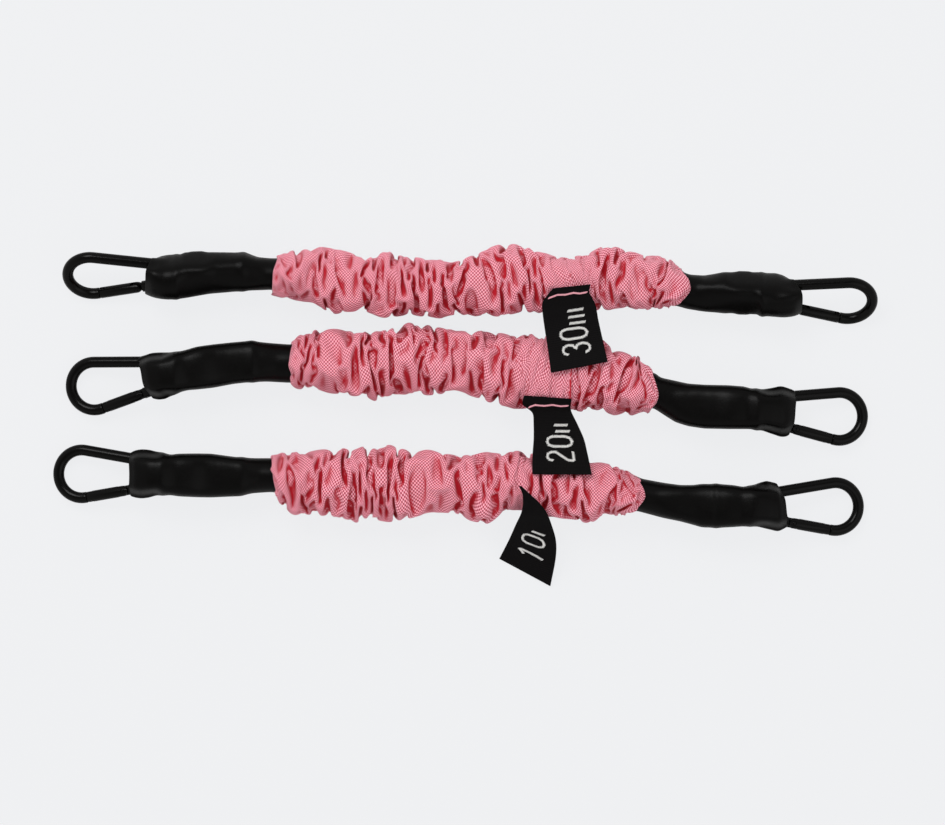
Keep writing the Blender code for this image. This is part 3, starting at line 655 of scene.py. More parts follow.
@dataclass(frozen=True)
class WovenLabel:
    """Black satin weave with fine ribs across the label."""

    colour: tuple = (0.0016, 0.0014, 0.0016)
    raised: tuple = (0.0070, 0.0058, 0.0060)
    rib: float = 0.00055
    height: float = 0.00006

    def build(self) -> bpy.types.Material:
        """Return the material.

        Returns:
            The material.
        """
        sheet = NodeSheet("woven_label")
        across, along = sheet.uv("cloth")
        ribs = (along * (TURN / self.rib)).sine()
        threads = (across * (TURN / self.rib) * 0.8).sine()
        weave = ribs * 0.5 + threads * 0.3 + 0.5
        colour = sheet.mix(self.colour, self.raised, (weave * 0.6).clamped())
        sheet.surface(Base_Color=colour, Roughness=0.66, Specular_IOR_Level=0.05)
        sheet.bump(weave, self.height)
        return sheet.owner


@dataclass(frozen=True)
class Yarn:
    """Thread or yarn of one colour."""

    name: str
    colour: tuple
    darker: float = 0.7

    def build(self) -> bpy.types.Material:
        """Return the material.

        Returns:
            The material.
        """
        sheet = NodeSheet(self.name)
        tone = sheet.noise(1500.0) * (1 - self.darker) + self.darker
        sheet.surface(Base_Color=sheet.scaled(self.colour, tone), Roughness=0.7, Specular_IOR_Level=0.3)
        return sheet.owner


@dataclass(frozen=True)
class PlatedSteel:
    """Dull zinc plating."""

    colour: tuple = (0.46, 0.45, 0.43)

    def build(self) -> bpy.types.Material:
        """Return the material.

        Returns:
            The material.
        """
        sheet = NodeSheet("plated_steel")
        grain = sheet.noise(1200.0, 3.0)
        sheet.surface(Base_Color=sheet.scaled(self.colour, grain * 0.4 + 0.75), Metallic=0.9,
                      Roughness=grain * 0.25 + 0.28)
        return sheet.owner


@dataclass(frozen=True)
class Latex:
    """Black latex, a little dusty."""

    colour: tuple = (0.012, 0.011, 0.010)

    def build(self) -> bpy.types.Material:
        """Return the material.

        Returns:
            The material.
        """
        sheet = NodeSheet("latex")
        grain = sheet.noise(600.0, 3.0)
        sheet.surface(Base_Color=sheet.scaled(self.colour, grain * 0.8 + 0.6), Roughness=0.55)
        return sheet.owner


class Finishes:
    """Every finish of the set, made once."""

    def __init__(self) -> None:
        """Build the materials."""
        self.cloth = GatheredCloth().build()
        self.rubber = ShrunkRubber().build()
        self.wire = CoatedWire().build()
        self.label = WovenLabel().build()
        self.steel = PlatedSteel().build()
        self.latex = Latex().build()
        self.thread = Yarn("sewing_thread", (0.80, 0.36, 0.42)).build()
        self.yarn = Yarn("label_yarn", (0.74, 0.73, 0.71), 0.8).build()


# The line that a band lies on
class Route:
    """Centre line of one band, from the left hook's tip to the right hook's tip."""

    STEP = 0.0005
    EASE = 0.002
    TWIST_AT = 0.012
    TWIST_LENGTH = 0.030

    def __init__(self, spec: BandSpec) -> None:
        """Run straight through both hooks and smoothly through the points between.

        Args:
            spec: The band.
        """
        self.spec = spec
        left, right = self.end_line(spec.left, 1), self.end_line(spec.right, -1)
        knots = [left[0] + left[1] * HOOK_LENGTH]
        knots += [Vector((x, y, AXIS_Z)) for x, y in spec.line]
        knots.append(right[0] + right[1] * HOOK_LENGTH)
        slopes = [left[1]]
        slopes += [(after - before).normalized() for before, after in zip(knots, knots[2:])]
        slopes.append(-right[1])
        points = [left[0]]
        for i in range(len(knots) - 1):
            chord = (knots[i + 1] - knots[i]).length
            steps = max(int(chord / self.STEP), 2)
            points += [hermite(knots[i], knots[i + 1], slopes[i] * chord, slopes[i + 1] * chord,
                               k / steps) for k in range(steps)]
        points += [knots[-1], right[0]]
        self.points = np.array([p[:] for p in points])
        gaps = np.linalg.norm(np.diff(self.points, axis=0), axis=1)
        self.at = np.concatenate([[0.0], np.cumsum(gaps)])
        self.length = float(self.at[-1])

    @staticmethod
    def end_line(end: EndSpec, side: int) -> tuple[Vector, Vector]:
        """Place a hook so that its bow just clears the floor.

        Args:
            end: The end that it is on.
            side: 1 on the left and -1 on the right.

        Returns:
            The hook's tip and the direction from it into the band.
        """
        heading, droop, roll = (math.radians(a) for a in (end.heading, end.droop, end.roll))
        inward = Vector((side * math.cos(heading) * math.cos(droop),
                         side * math.sin(heading) * math.cos(droop), math.sin(droop)))
        reach = math.sqrt(math.sin(droop) ** 2 + (math.sin(roll) * math.cos(droop)) ** 2)
        bow_z = FLOOR_GAP + WIRE_R + BOW_R * reach
        return Vector((*end.tip, bow_z - BOW_AT * math.sin(droop))), inward

    def end(self, side: Side) -> EndSpec:
        """Return the sizes of one end."""
        return self.spec.left if side is Side.LEFT else self.spec.right

    def tag(self, side: Side) -> str:
        """Return what the names at one end finish with."""
        return f"{self.spec.name}_{side.value}"

    def at_end(self, side: Side, along: float) -> float:
        """Turn a distance from one hook's tip into a distance from the left tip."""
        return along if side is Side.LEFT else self.length - along

    def at_x(self, x: float) -> float:
        """Return the distance from the left tip at which the line passes an X."""
        return float(self.at[np.argmin(np.abs(self.points[:, 0] - x))])

    def many(self, s: np.ndarray) -> np.ndarray:
        """Return the points at many distances from the left tip."""
        return np.stack([np.interp(s, self.at, self.points[:, k]) for k in range(3)], axis=1)

    def point(self, s: float) -> Vector:
        """Return the point at a distance from the left tip."""
        return Vector(self.many(np.array([s]))[0])

    def seam_x(self) -> float:
        """Return the X of the middle of the label's seam."""
        return sum(p[0] for p in self.spec.label[0]) / 2

    def roll(self, s: float) -> float:
        """Return how far the band is turned about its line.

        Args:
            s: Distance from the left tip.

        Returns:
            The angle, which fades out behind each hook.
        """
        angle = 0.0
        for end, distance in ((self.spec.left, s), (self.spec.right, self.length - s)):
            fade = smooth_step((distance - HOOK_LENGTH - self.TWIST_AT) / self.TWIST_LENGTH)
            angle += math.radians(end.roll) * (1 - fade)
        return angle

    def frame(self, s: float) -> tuple[Vector, Vector, Vector, Vector]:
        """Look along the line.

        Args:
            s: Distance from the left tip.

        Returns:
            The place there and the band's direction, side and top.
        """
        direction = (self.point(s + self.EASE) - self.point(s - self.EASE)).normalized()
        side = UP.cross(direction).normalized()
        top = direction.cross(side)
        angle = self.roll(s)
        return (self.point(s), direction, side * math.cos(angle) + top * math.sin(angle),
                top * math.cos(angle) - side * math.sin(angle))

    def hook_place(self, side: Side) -> Matrix:
        """Work out the hook's frame.

        Args:
            side: Which end.

        Returns:
            Its matrix: X from the tip to the heel, with the gate on the -Y side.
        """
        place, direction, across, top = self.frame(self.at_end(side, 0.0))
        if side is Side.RIGHT:
            direction, top = -direction, -top
        return Matrix.Translation(place) @ Matrix((direction, across, top)).transposed().to_4x4()

    def stretch(self, obj: bpy.types.Object, side: Side) -> None:
        """Bake a piece's place into its mesh.

        Args:
            obj: The piece.
            side: Which end it belongs to.
        """
        clear = self.at_end(side, self.end(side).sleeve + CUFF_TUCK)
        f"end_{self.tag(side)}"
        self.point(clear)
        self.point(self.at_x(self.seam_x()))
        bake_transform(obj)


# The snap hook
@dataclass(frozen=True)
class Section:
    """One section across the hook's wire, in the hook's own plane."""

    centre: Vector
    direction: Vector
    half_width: float
    half_height: float


def gate_line(distance: float) -> Vector:
    """Return the point at a distance along the gate's side of the hook."""
    start = Vector((BOW_AT + BOW_R * math.sin(FLARE), -BOW_R * math.cos(FLARE), 0))
    return start + distance * Vector((math.cos(FLARE), math.sin(FLARE), 0))


def swept(sections: list[Section], sides: int) -> bmesh.types.BMesh:
    """Run a solid through a row of oval sections.

    Args:
        sections: The ovals, in order.
        sides: Faces around it.

    Returns:
        The solid, closed at both ends.
    """
    last = len(sections) - 1

    def place(around: float, along: float) -> Vector:
        """Return a point of the nearest section.

        Args:
            around: Share of the way round.
            along: Share of the row.

        Returns:
            The point.
        """
        section = sections[round(along * last)]
        across = Vector((-section.direction.y, section.direction.x, 0))
        angle = TURN * around
        return (section.centre + across * section.half_width * math.cos(angle)
                + UP * section.half_height * math.sin(angle))

    return bent_grid(sides, last, place, capped=True)


@dataclass
class SnapHook:
    """Pear of round wire with a sprung gate on a rivet in its straight side."""

    route: Route
    side: Side
    sides: int = 28
    bow_steps: int = 44
    heel_steps: int = 20
    nose_at: float = 0.0008
    edge: float = 0.00025
    tongue: float = 0.0022
    tongue_half: float = 0.0021
    tang: float = 0.0012
    tang_r: float = 0.0021
    rivet_at: float = 0.0170
    rivet_r: float = 0.0008
    rivet_ease: float = 0.0001
    shoulder: float = 0.0196
    end_gap: float = 0.00025
    pivot_gap: float = 0.0003
    slot_ease: float = 0.00015
    bore_r: float = 0.00135
    bore_depth: float = 0.0085
    bore_overlap: float = 0.0002
    tool_past: float = 0.005
    tool_wide: float = 0.012
    sharp: float = 35.0

    # Shares of the tongue's length and half width, of an edge's depth and cut, and of a radius
    TONGUE = ((1.0, 0.92), (0.85, 0.99), (0.7, 1.0), (0.0, 1.0))
    EDGE = ((0.0, 1.0), (0.3, 0.4), (1.0, 0.0))
    TANG_END = (0.3, 0.55, 0.75, 0.9, 0.98)
    GATE_END = (0.0, 0.25, 0.5, 0.7, 0.85, 0.95, 0.99)
    GATE_EDGE = ((0.0, 0.0003), (0.0001, 0.0001), (0.0003, 0.0))
    RIVET = ((0.0, -1.0), (0.55, -1.0), (0.9, -0.97), (1.0, -0.93),
             (1.0, 0.93), (0.9, 0.97), (0.55, 1.0), (0.0, 1.0))

    def wire(self) -> bmesh.types.BMesh:
        """Bend the wire.

        Returns:
            The bent wire, from its nose tongue round to its tang.
        """
        back = Vector((-math.cos(FLARE), -math.sin(FLARE), 0))
        sections: list[Section] = []

        def add(distance: float, half_width: float, half_height: float) -> None:
            """Add a section on the gate's side."""
            sections.append(Section(gate_line(distance), back, half_width, half_height))

        for share, half in self.TONGUE:
            add(self.nose_at + self.tongue * share, self.tongue_half * half, self.tang / 2)
        for shift, cut in self.EDGE:
            add(self.nose_at - self.edge * shift, *[WIRE_R - self.edge * cut] * 2)
        quarter = math.pi / 2 - FLARE
        for centre, radius, start, stop, steps in (
                (BOW_AT, BOW_R, -quarter, -TURN + quarter, self.bow_steps),
                (HEEL_AT, HEEL_R, quarter, -quarter, self.heel_steps)):
            for i in range(steps + 1):
                angle = start + (stop - start) * i / steps
                spot = Vector((centre + radius * math.cos(angle), radius * math.sin(angle), 0))
                way = Vector((math.sin(angle), -math.cos(angle), 0))
                sections.append(Section(spot, way, WIRE_R, WIRE_R))
        for shift, cut in reversed(self.EDGE):
            add(self.shoulder + self.edge * shift, *[WIRE_R - self.edge * cut] * 2)
        for distance in (self.shoulder, self.rivet_at):
            add(distance, self.tang_r, self.tang / 2)
        for share in self.TANG_END:
            add(self.rivet_at - self.tang_r * share, self.tang_r * math.sqrt(1 - share ** 2),
                self.tang / 2)
        return swept(sections, self.sides)

    @property
    def gate_nose(self) -> float:
        """Return where the gate's free end is, from its rivet."""
        return self.nose_at + self.end_gap - self.rivet_at

    def gate(self) -> bmesh.types.BMesh:
        """Shape the gate before its slots are cut.

        Returns:
            The solid, with its rivet at the origin.
        """
        rows = [(self.gate_nose + shift, WIRE_R - cut, WIRE_R - cut) for shift, cut in self.GATE_EDGE]
        rows += [(WIRE_R * share, WIRE_R * math.sqrt(1 - share ** 2), WIRE_R)
                 for share in self.GATE_END]
        return swept([Section(Vector((x, 0, 0)), Vector((1, 0, 0)), *halves) for x, *halves in rows],
                     self.sides)

    def slotted(self, gate: bpy.types.Object, hinge: Matrix) -> None:
        """Cut both slots, the rivet's hole and the spring's bore out of the gate.

        Args:
            gate: The gate, in its place.
            hinge: Its rivet's frame.
        """
        pivot = self.tang_r + self.pivot_gap
        tools = bmesh.new()
        nose = self.gate_nose
        for low, high in ((nose - self.tool_past, nose + self.tongue + self.end_gap),
                          (-pivot, self.tool_past)):
            size = Matrix.Diagonal((high - low, self.tool_wide, self.tang + self.slot_ease * 2, 1.0))
            bmesh.ops.create_cube(
                tools, size=1.0, matrix=hinge @ Matrix.Translation(((low + high) / 2, 0, 0)) @ size)
        bore_x = -pivot - self.bore_depth / 2 + self.bore_overlap
        along = Matrix.Translation((bore_x, 0, 0)) @ Matrix.Rotation(math.pi / 2, 4, "Y")
        for radius, length, place in (
                (self.bore_r, self.bore_depth, along),
                (self.rivet_r + self.rivet_ease, self.tool_wide, Matrix.Identity(4))):
            bmesh.ops.create_cone(tools, cap_ends=True, segments=20, radius1=radius, radius2=radius,
                                  depth=length, matrix=hinge @ place)
        cutter = linked("gate_tools", mesh_of("gate_tools", tools))
        change = gate.modifiers.new("Slots", "BOOLEAN")
        change.solver, change.use_self, change.object = "EXACT", True, cutter
        done = evaluated(gate)
        gate.modifiers.remove(change)
        old, gate.data = gate.data, done
        bpy.data.meshes.remove(old)
        bpy.data.objects.remove(cutter, do_unlink=True)
        gate.data.set_sharp_from_angle(angle=math.radians(self.sharp))

    def rivet(self) -> bmesh.types.BMesh:
        """Shape the rivet, with its ends peened a little round.

        Returns:
            The solid, round the origin.
        """
        half = WIRE_R * 0.99
        last = len(self.RIVET) - 1

        def place(around: float, along: float) -> Vector:
            """Return a point of the turned profile.

            Args:
                around: Share of the way round.
                along: Share of the profile.

            Returns:
                The point.
            """
            share, height = self.RIVET[round(along * last)]
            angle = TURN * around
            return Vector((self.rivet_r * share * math.cos(angle),
                           self.rivet_r * share * math.sin(angle), half * height))

        return bent_grid(20, last, place)

    def build(self, finishes: Finishes) -> bpy.types.Object:
        """Make the hook's pieces in place of the CAD nodes.

        Args:
            finishes: The set's finishes.

        Returns:
            The bent wire.
        """
        tag = self.route.tag(self.side)
        place = self.route.hook_place(self.side)
        hinge = place @ Matrix.Translation(gate_line(self.rivet_at)) @ Matrix.Rotation(FLARE, 4, "Z")
        body, bar, pin = self.wire(), self.gate(), self.rivet()
        for bm, matrix in ((body, place), (bar, hinge), (pin, hinge)):
            bm.transform(matrix)
        wire = add_piece(f"hook_wire_{tag}", body, finishes.wire, f"end_{tag}")
        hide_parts(f"hook_body_{tag}")
        gate = add_piece(f"gate_bar_{tag}", bar, finishes.wire, None)
        self.slotted(gate, hinge)
        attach(gate, f"gate_{tag}")
        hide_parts(f"hook_gate_{tag}")
        rivet = add_piece(f"rivet_{tag}", pin, finishes.wire, f"end_{tag}")
        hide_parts(f"gate_rivet_{tag}")
        return wire


# The rubber cuff
@dataclass
class Ring:
    """One section across the cuff: its sizes, its frame and its reach up and down along Y.

    The power of its oval is 2 for a round one and more for a squarer one.
    """

    along: float
    half_w: float
    half_h: float
    power: float
    centre: Vector
    direction: Vector
    across: Vector
    top: Vector
    high: float = 0.0
    low: float = 0.0


@dataclass
class RubberCuff:
    """Shrunk rubber from the hook's eye to under the sleeve."""

    route: Route
    side: Side
    contents: BVHTree
    cover: float = 0.0007
    cover_reach: float = 0.008
    sides: int = 56
    rows: int = 90
    lip_rows: int = 6
    rim_steps: int = 36
    wall: float = 0.0009
    mouth_wall: float = 0.45
    lip_bulge: float = 0.3
    ease: float = 0.0003
    seat: float = WIRE_R + 0.00045
    mouth_h: float = 0.0074
    leg_t: float = 0.0070
    leg_w: float = 0.0135
    double_w: float = 0.0150
    double_t: float = 0.0066
    bind_at: float = 0.0045
    bind_length: float = 0.0060
    bind_half_w: float = 0.0063 + 0.0005
    bind_half_h: float = 0.0062 + 0.00015 + 0.0005
    tail_short: float = 0.014
    narrowing: float = 0.0055
    single: float = 0.0100
    flange: tuple = (0.60, 0.92)
    flange_h: float = WIRE_R + 0.0009
    fitted: tuple = (0.64, 0.26, 1.25)
    beside_fade: tuple = (0.001, 0.009)
    wall_fade: float = 0.006
    mouth_fade: float = 0.012
    mouth_rise: float = 0.0095
    fit_past: float = 0.004
    bind_middle: float = 0.003
    bind_fade: tuple = (0.005, 0.004)
    smoothing: int = 5

    def __post_init__(self) -> None:
        """Look up the band's end and measure the mouth."""
        self.end = self.route.end(self.side)
        self.rolled = self.end.roll > 20
        self.outline = np.array(self.end.outline)
        self.sizes = np.array(self.inner_sizes())
        self.mouth = self.ring_at(self.end.mouth)

    def inner_sizes(self) -> list[tuple[float, float, float, float]]:
        """Work out what the cuff covers.

        Returns:
            Rows of distance from the tip, half width, half height and power.
        """
        end, rolled = self.end, self.rolled
        bound = HOOK_LENGTH + self.bind_at
        tail = end.sleeve - self.tail_short
        leg_top = self.seat + self.leg_t + self.ease
        around_bind = (self.bind_half_w + 0.0009, self.bind_half_h + 0.0009, 3.4)
        around_pair = (self.double_w / 2 + 0.0007, self.double_t + 0.00055, 2.5 if rolled else 3.4)
        single = TUBE_D / 2 + self.ease
        apex = HOOK_LENGTH - WIRE_R
        power = 2.4 if rolled else 3.2
        return [(end.mouth, self.beside_hook(end.mouth), self.mouth_h, 3.2),
                (end.mouth + 0.0030, self.beside_hook(end.mouth + 0.002), leg_top - 0.0006, 3.0),
                (HEEL_AT + 0.0020, self.beside_hook(HEEL_AT + 0.002), leg_top + 0.0001, power),
                (apex + self.seat * 0.66, self.leg_w / 2 + 0.0009, leg_top - 0.0003, power),
                (bound - 0.0006, *around_bind),
                (bound + self.bind_length + 0.0003, *around_bind),
                (bound + self.bind_length + 0.0045, *around_pair),
                (tail, *around_pair),
                (tail + self.narrowing, TUBE_D * 0.55 + 0.00045, TUBE_D * 0.52 + 0.00045, 2.6),
                (tail + self.single, single, single, 2.0),
                (end.sleeve + CUFF_TUCK, single, single, 2.0)]

    def beside_hook(self, along: float) -> float:
        """Return the half width that clears the hook's wire.

        Args:
            along: Distance from the hook's tip.

        Returns:
            The half width.
        """
        heel = HEEL_R + WIRE_R
        if along > HEEL_AT + heel * math.sin(FLARE):
            half = math.sqrt(max(heel ** 2 - (along - HEEL_AT) ** 2, 0.0))
        else:
            half = (BOW_R + WIRE_R - (along - BOW_AT) * math.sin(FLARE)) / math.cos(FLARE)
        return max(half + 0.0002, self.leg_w / 2 + self.ease)

    def ring_at(self, along: float) -> Ring:
        """Measure one section of the cuff.

        Args:
            along: Distance from the hook's tip.

        Returns:
            The section.
        """
        sizes = [float(np.interp(along, self.sizes[:, 0], self.sizes[:, k])) for k in (1, 2, 3)]
        ring = Ring(along, *sizes, *self.route.frame(self.route.at_end(self.side, along)))
        rim = [self.around(ring, TURN * k / self.rim_steps, 1.0)[0].y for k in range(self.rim_steps)]
        ring.high, ring.low = max(rim), -min(rim)
        return ring

    def around(self, ring: Ring, angle: float, layer: float) -> tuple[Vector, Vector]:
        """Go round a section.

        Args:
            ring: The section.
            angle: Where on it.
            layer: 0 on the cuff's inside and 1 on its outside.

        Returns:
            The point from the section's centre, and the way outwards.
        """
        c, s = math.cos(angle), math.sin(angle)
        c = math.copysign(abs(c) ** (2 / ring.power), c)
        s = math.copysign(abs(s) ** (2 / ring.power), s)
        past, fade = self.beside_fade
        beside = 0.0 if self.rolled else 1 - smooth_step((ring.along - HEEL_AT - past) / fade)
        start, full = self.flange
        flange = smooth_step((abs(c) - start) / (full - start)) * beside
        height = math.sqrt(max(1 - c * c, 0.0)) * 0.5 + 0.5
        thin = self.flange_h / ring.half_h * math.copysign(height, s)
        s += (thin - s) * flange if abs(s) > 1e-6 else 0.0
        from_mouth = smooth_step((ring.along - self.end.mouth) / self.wall_fade)
        wall = self.wall * (1 - self.mouth_wall * (1 - from_mouth)) * layer
        return (ring.across * c * (ring.half_w + wall) + ring.top * s * (ring.half_h + wall),
                ring.across * c + ring.top * s)

    def to_mouth(self, ring: Ring, spot: Vector) -> float:
        """Shift the cuff along X so that its mouth slants as in the photograph.

        Args:
            ring: The section that the point is on.
            spot: The point, from the section's centre.

        Returns:
            How far the point moves.
        """
        height = spot.y / (ring.high if spot.y > 0 else ring.low)
        high, middle, low = self.end.mouth_x
        goal = middle + (high - middle) * max(height, 0.0) ** 2 + (low - middle) * min(height, 0.0) ** 2
        across, top = self.mouth.across, self.mouth.top
        lean = across.x / across.y * spot.y + top.x * self.mouth_rise if abs(across.y) > 0.1 else 0.0
        nearness = 1 - smooth_step((ring.along - self.end.mouth) / self.mouth_fade)
        return (goal - self.mouth.centre.x - lean) * nearness

    def fit(self, ring: Ring, x: float, above: bool) -> float:
        """Return how far a section stretches along Y to meet the outline in the photograph.

        Args:
            ring: The section.
            x: World X of the point that is stretched.
            above: Whether that point is above the band's line in the picture.

        Returns:
            The factor.
        """
        column, reach, sign = (1, ring.high, 1) if above else (2, ring.low, -1)
        goal = (float(np.interp(x, self.outline[:, 0], self.outline[:, column])) - ring.centre.y) * sign
        from_bind = abs(ring.along - HOOK_LENGTH - self.bind_at - self.bind_middle)
        bound = 1 - smooth_step((from_bind - self.bind_fade[0]) / self.bind_fade[1])
        least, more, most = self.fitted
        return min(max(goal / reach, least + more * bound), most)

    def skin(self) -> bmesh.types.BMesh:
        """Run the outside from the sleeve to the mouth, over a lip and back inside.

        Returns:
            The skin, closed where both its ends meet under the sleeve.
        """
        end = self.end
        stop = end.sleeve + CUFF_TUCK
        rings = [self.ring_at(stop + (end.mouth - stop) * i / self.rows) for i in range(self.rows + 1)]
        lip = [math.pi * i / self.lip_rows for i in range(1, self.lip_rows)]
        layers = [(ring, 1.0, 0.0) for ring in rings]
        layers += [(self.mouth, 0.5 + 0.5 * math.cos(a), math.sin(a)) for a in lip]
        layers += [(ring, 0.0, 0.0) for ring in reversed(rings)]
        last = len(layers) - 1

        def place(around: float, along_share: float) -> Vector:
            """Return a point of the skin.

            Args:
                around: Share of the way round.
                along_share: Share of the layers.

            Returns:
                The point.
            """
            ring, layer, round_lip = layers[round(along_share * last)]
            spot, outward = self.around(ring, TURN * around, layer)
            inward = ring.direction if self.side is Side.LEFT else -ring.direction
            move = Vector((self.to_mouth(ring, spot), 0, 0))
            move -= inward * (self.wall * self.lip_bulge * round_lip)
            x = ring.centre.x + spot.x + move.x
            if ring.along < end.sleeve + self.fit_past:
                spot.y *= self.fit(ring, x, spot.y > 0)
            rise = sum(tall * math.exp(-((x - at) / spread) ** 2) for at, tall, spread in end.ridges)
            spot = ring.centre + spot + outward * (rise * layer) + move
            return self.over_contents(spot, outward.normalized()) if layer == 1.0 else spot

        bm = bent_grid(self.sides, last, place)
        bmesh.ops.bridge_loops(bm, edges=[e for e in bm.edges if e.is_boundary])
        for _ in range(self.smoothing):
            bmesh.ops.smooth_vert(bm, verts=bm.verts, factor=0.5, use_axis_x=True, use_axis_y=True,
                                  use_axis_z=True)
        return bm

    def over_contents(self, spot: Vector, outward: Vector) -> Vector:
        """Move a point of the outer skin out over whatever it would leave bare.

        Args:
            spot: The point.
            outward: The way out of the cuff there.

        Returns:
            The point that clears what is inside.
        """
        reach = self.cover_reach
        hit = self.contents.ray_cast(spot + outward * reach, -outward, reach + self.cover)
        return spot if hit[3] is None else spot + outward * (reach + self.cover - hit[3])

    def build(self, finishes: Finishes) -> None:
        """Make the cuff in place of the CAD node.

        Args:
            finishes: The set's finishes.
        """
        tag = self.route.tag(self.side)
        cuff = add_piece(f"cuff_{tag}", self.skin(), finishes.rubber, f"end_{tag}", sharp=60)
        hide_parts(f"end_cuff_{tag}")


# The gathered sleeves
@dataclass
class GatheredSleeve:
    """One sleeve: a straight tube of cloth, gathered and then laid along its band.

    The simulation runs at a larger scale, over a core. A few tacks and both hems are pinned, and
    the rest is guided. What lies on the labels and the floor is pressed flat afterwards.
    """

    route: Route
    index: int
    radius: float = 0.0128
    core_r: float = 0.0084
    fullness: float = FULLNESS
    edge: float = 0.0013
    scale: float = 20.0
    apart: float = 0.08
    frames: int = 52
    hold: float = 0.8
    bend: float = 2.0
    gap: float = 0.0005
    self_gap: float = 0.00045
    core_gap: float = 0.0002
    guide: float = 0.06
    tacks: float = 0.0008
    tack_crowd: float = 14
    tack_fade: float = 0.012
    tack_r: tuple = (0.0090, 0.0114)
    tack_shift: float = 0.0016
    tack_turn: float = 0.12
    hem_r: float = 0.0090
    thickness: float = 0.00042
    panel: float = 0.0011
    deepen: float = 1.2
    floor: float = 0.0004

    CLOTH = {"quality": 4, "mass": 0.15, "tension_stiffness": 25, "compression_stiffness": 25,
             "shear_stiffness": 3, "tension_damping": 5, "compression_damping": 5, "shear_damping": 5,
             "bending_damping": 0.4, "air_damping": 2, "vertex_group_mass": "pins",
             "pin_stiffness": 1.0}
    CONTACT = {"use_collision": True, "use_self_collision": True, "collision_quality": 2,
               "self_friction": 3}
    # Steps of the turned-in hem: how far out along the band and how far in to its line
    HEM = ((-0.0004, 0.0004), (-0.0003, 0.0009), (0.0016, 0.0012))
    GOLDEN_ANGLE = 2.399963

    def __post_init__(self) -> None:
        """Work out the tube's length and grid."""
        self.start = self.route.spec.left.sleeve
        self.stop = self.route.length - self.route.spec.right.sleeve
        self.length = self.stop - self.start
        self.flat_length = self.length * self.fullness
        self.flat_width = TURN * self.radius
        self.around = round(self.flat_width / self.edge)
        self.rows = round(self.flat_length / self.edge)
        self.offset = self.index * self.apart

    def lay_out(self, gathers: bool) -> bpy.types.Object:
        """Make the flat tube.

        Args:
            gathers: Whether it is simulated next. Otherwise it gets simple folds.

        Returns:
            The tube.
        """
        scale = self.scale if gathers else 1
        fold_r, pitch, sway, around_fold, along_fold, apart = 0.0016, 850, 5, 0.7, 22, 50

        def place(around: float, along: float) -> Vector:
            """Return a point of the tube.

            Args:
                around: Share of the way round.
                along: Share of the length.

            Returns:
                The point.
            """
            angle, x, radius = TURN * around, (along - 0.5) * self.flat_length, self.radius
            if not gathers:
                x /= self.fullness
                where = Vector((x * along_fold, math.cos(angle) * around_fold,
                                math.sin(angle) * around_fold + self.offset * apart))
                radius += fold_r * (math.sin(x * pitch + sway * noise.noise(where)) - 1)
            return Vector((x, math.cos(angle) * radius, math.sin(angle) * radius)) * scale

        bm = bent_grid(self.around, self.rows, place, flat=(self.flat_width, self.flat_length))
        self.obj = linked("sleeve_cloth", mesh_of("sleeve_cloth", bm))
        return self.obj

    def prepare(self) -> None:
        """Key the tube from flat to gathered and add the cloth and its core."""
        scale, obj = self.scale, self.lay_out(gathers=True)
        obj.shape_key_add(name="flat")
        gathered = obj.shape_key_add(name="gathered")
        gathered.data.foreach_set("co", self.pin(obj).ravel())
        for value, frame in ((0.0, 1), (1.0, self.frames * self.hold)):
            gathered.value = value
            gathered.keyframe_insert("value", frame=frame)
        for curve in obj.data.shape_keys.animation_data.action.fcurves:
            for key in curve.keyframe_points:
                key.interpolation = "LINEAR"
        obj.location.y = self.offset * scale
        cloth = obj.modifiers.new("Cloth", "CLOTH")
        for target, settings in (
                (cloth.settings, {**self.CLOTH, "bending_stiffness": self.bend}),
                (cloth.collision_settings, {**self.CONTACT, "distance_min": self.gap * scale,
                                            "self_distance_min": self.self_gap * scale})):
            for name, value in settings.items():
                setattr(target, name, value)
        cloth.settings.effector_weights.gravity = 0.0
        cloth.point_cache.frame_end = self.frames
        bm = bmesh.new()
        bmesh.ops.create_cone(bm, cap_ends=True, segments=24, radius1=self.core_r * scale,
                              radius2=self.core_r * scale, depth=self.flat_length * 1.2 * scale,
                              matrix=Matrix.Rotation(math.pi / 2, 4, "Y"))
        self.core = linked("sleeve_core", mesh_of("sleeve_core", bm))
        self.core.location.y = self.offset * scale
        self.core.modifiers.new("Collision", "COLLISION")
        self.core.collision.thickness_outer = self.core_gap * scale

    def pin(self, obj: bpy.types.Object) -> np.ndarray:
        """Pin the hems and some tacks of the cloth, and guide the rest.

        Args:
            obj: The flat tube.

        Returns:
            Where each of its points is held once it is gathered.
        """
        scale = self.scale
        pins = obj.vertex_groups.new(name="pins")
        rng = np.random.default_rng(self.route.spec.seed)
        co = np.array([v.co[:] for v in obj.data.vertices])
        goal = co.copy()
        goal[:, 0] /= self.fullness
        angle = np.arctan2(co[:, 2], co[:, 1])
        to_end = self.flat_length / 2 * scale - np.abs(co[:, 0])
        for k in range(len(co)):
            crowd = 1 + self.tack_crowd * math.exp(-to_end[k] / (self.tack_fade * scale))
            if to_end[k] < self.edge * scale * 0.6:
                radius = self.hem_r * scale
            elif rng.random() < self.tacks * crowd:
                radius = rng.uniform(*self.tack_r) * scale
                goal[k, 0] += rng.normal() * self.tack_shift * scale
                angle[k] += rng.normal() * self.tack_turn
            else:
                pins.add([k], self.guide, "REPLACE")
                continue
            pins.add([k], 1.0, "REPLACE")
            goal[k, 1:] = radius * math.cos(angle[k]), radius * math.sin(angle[k])
        return goal

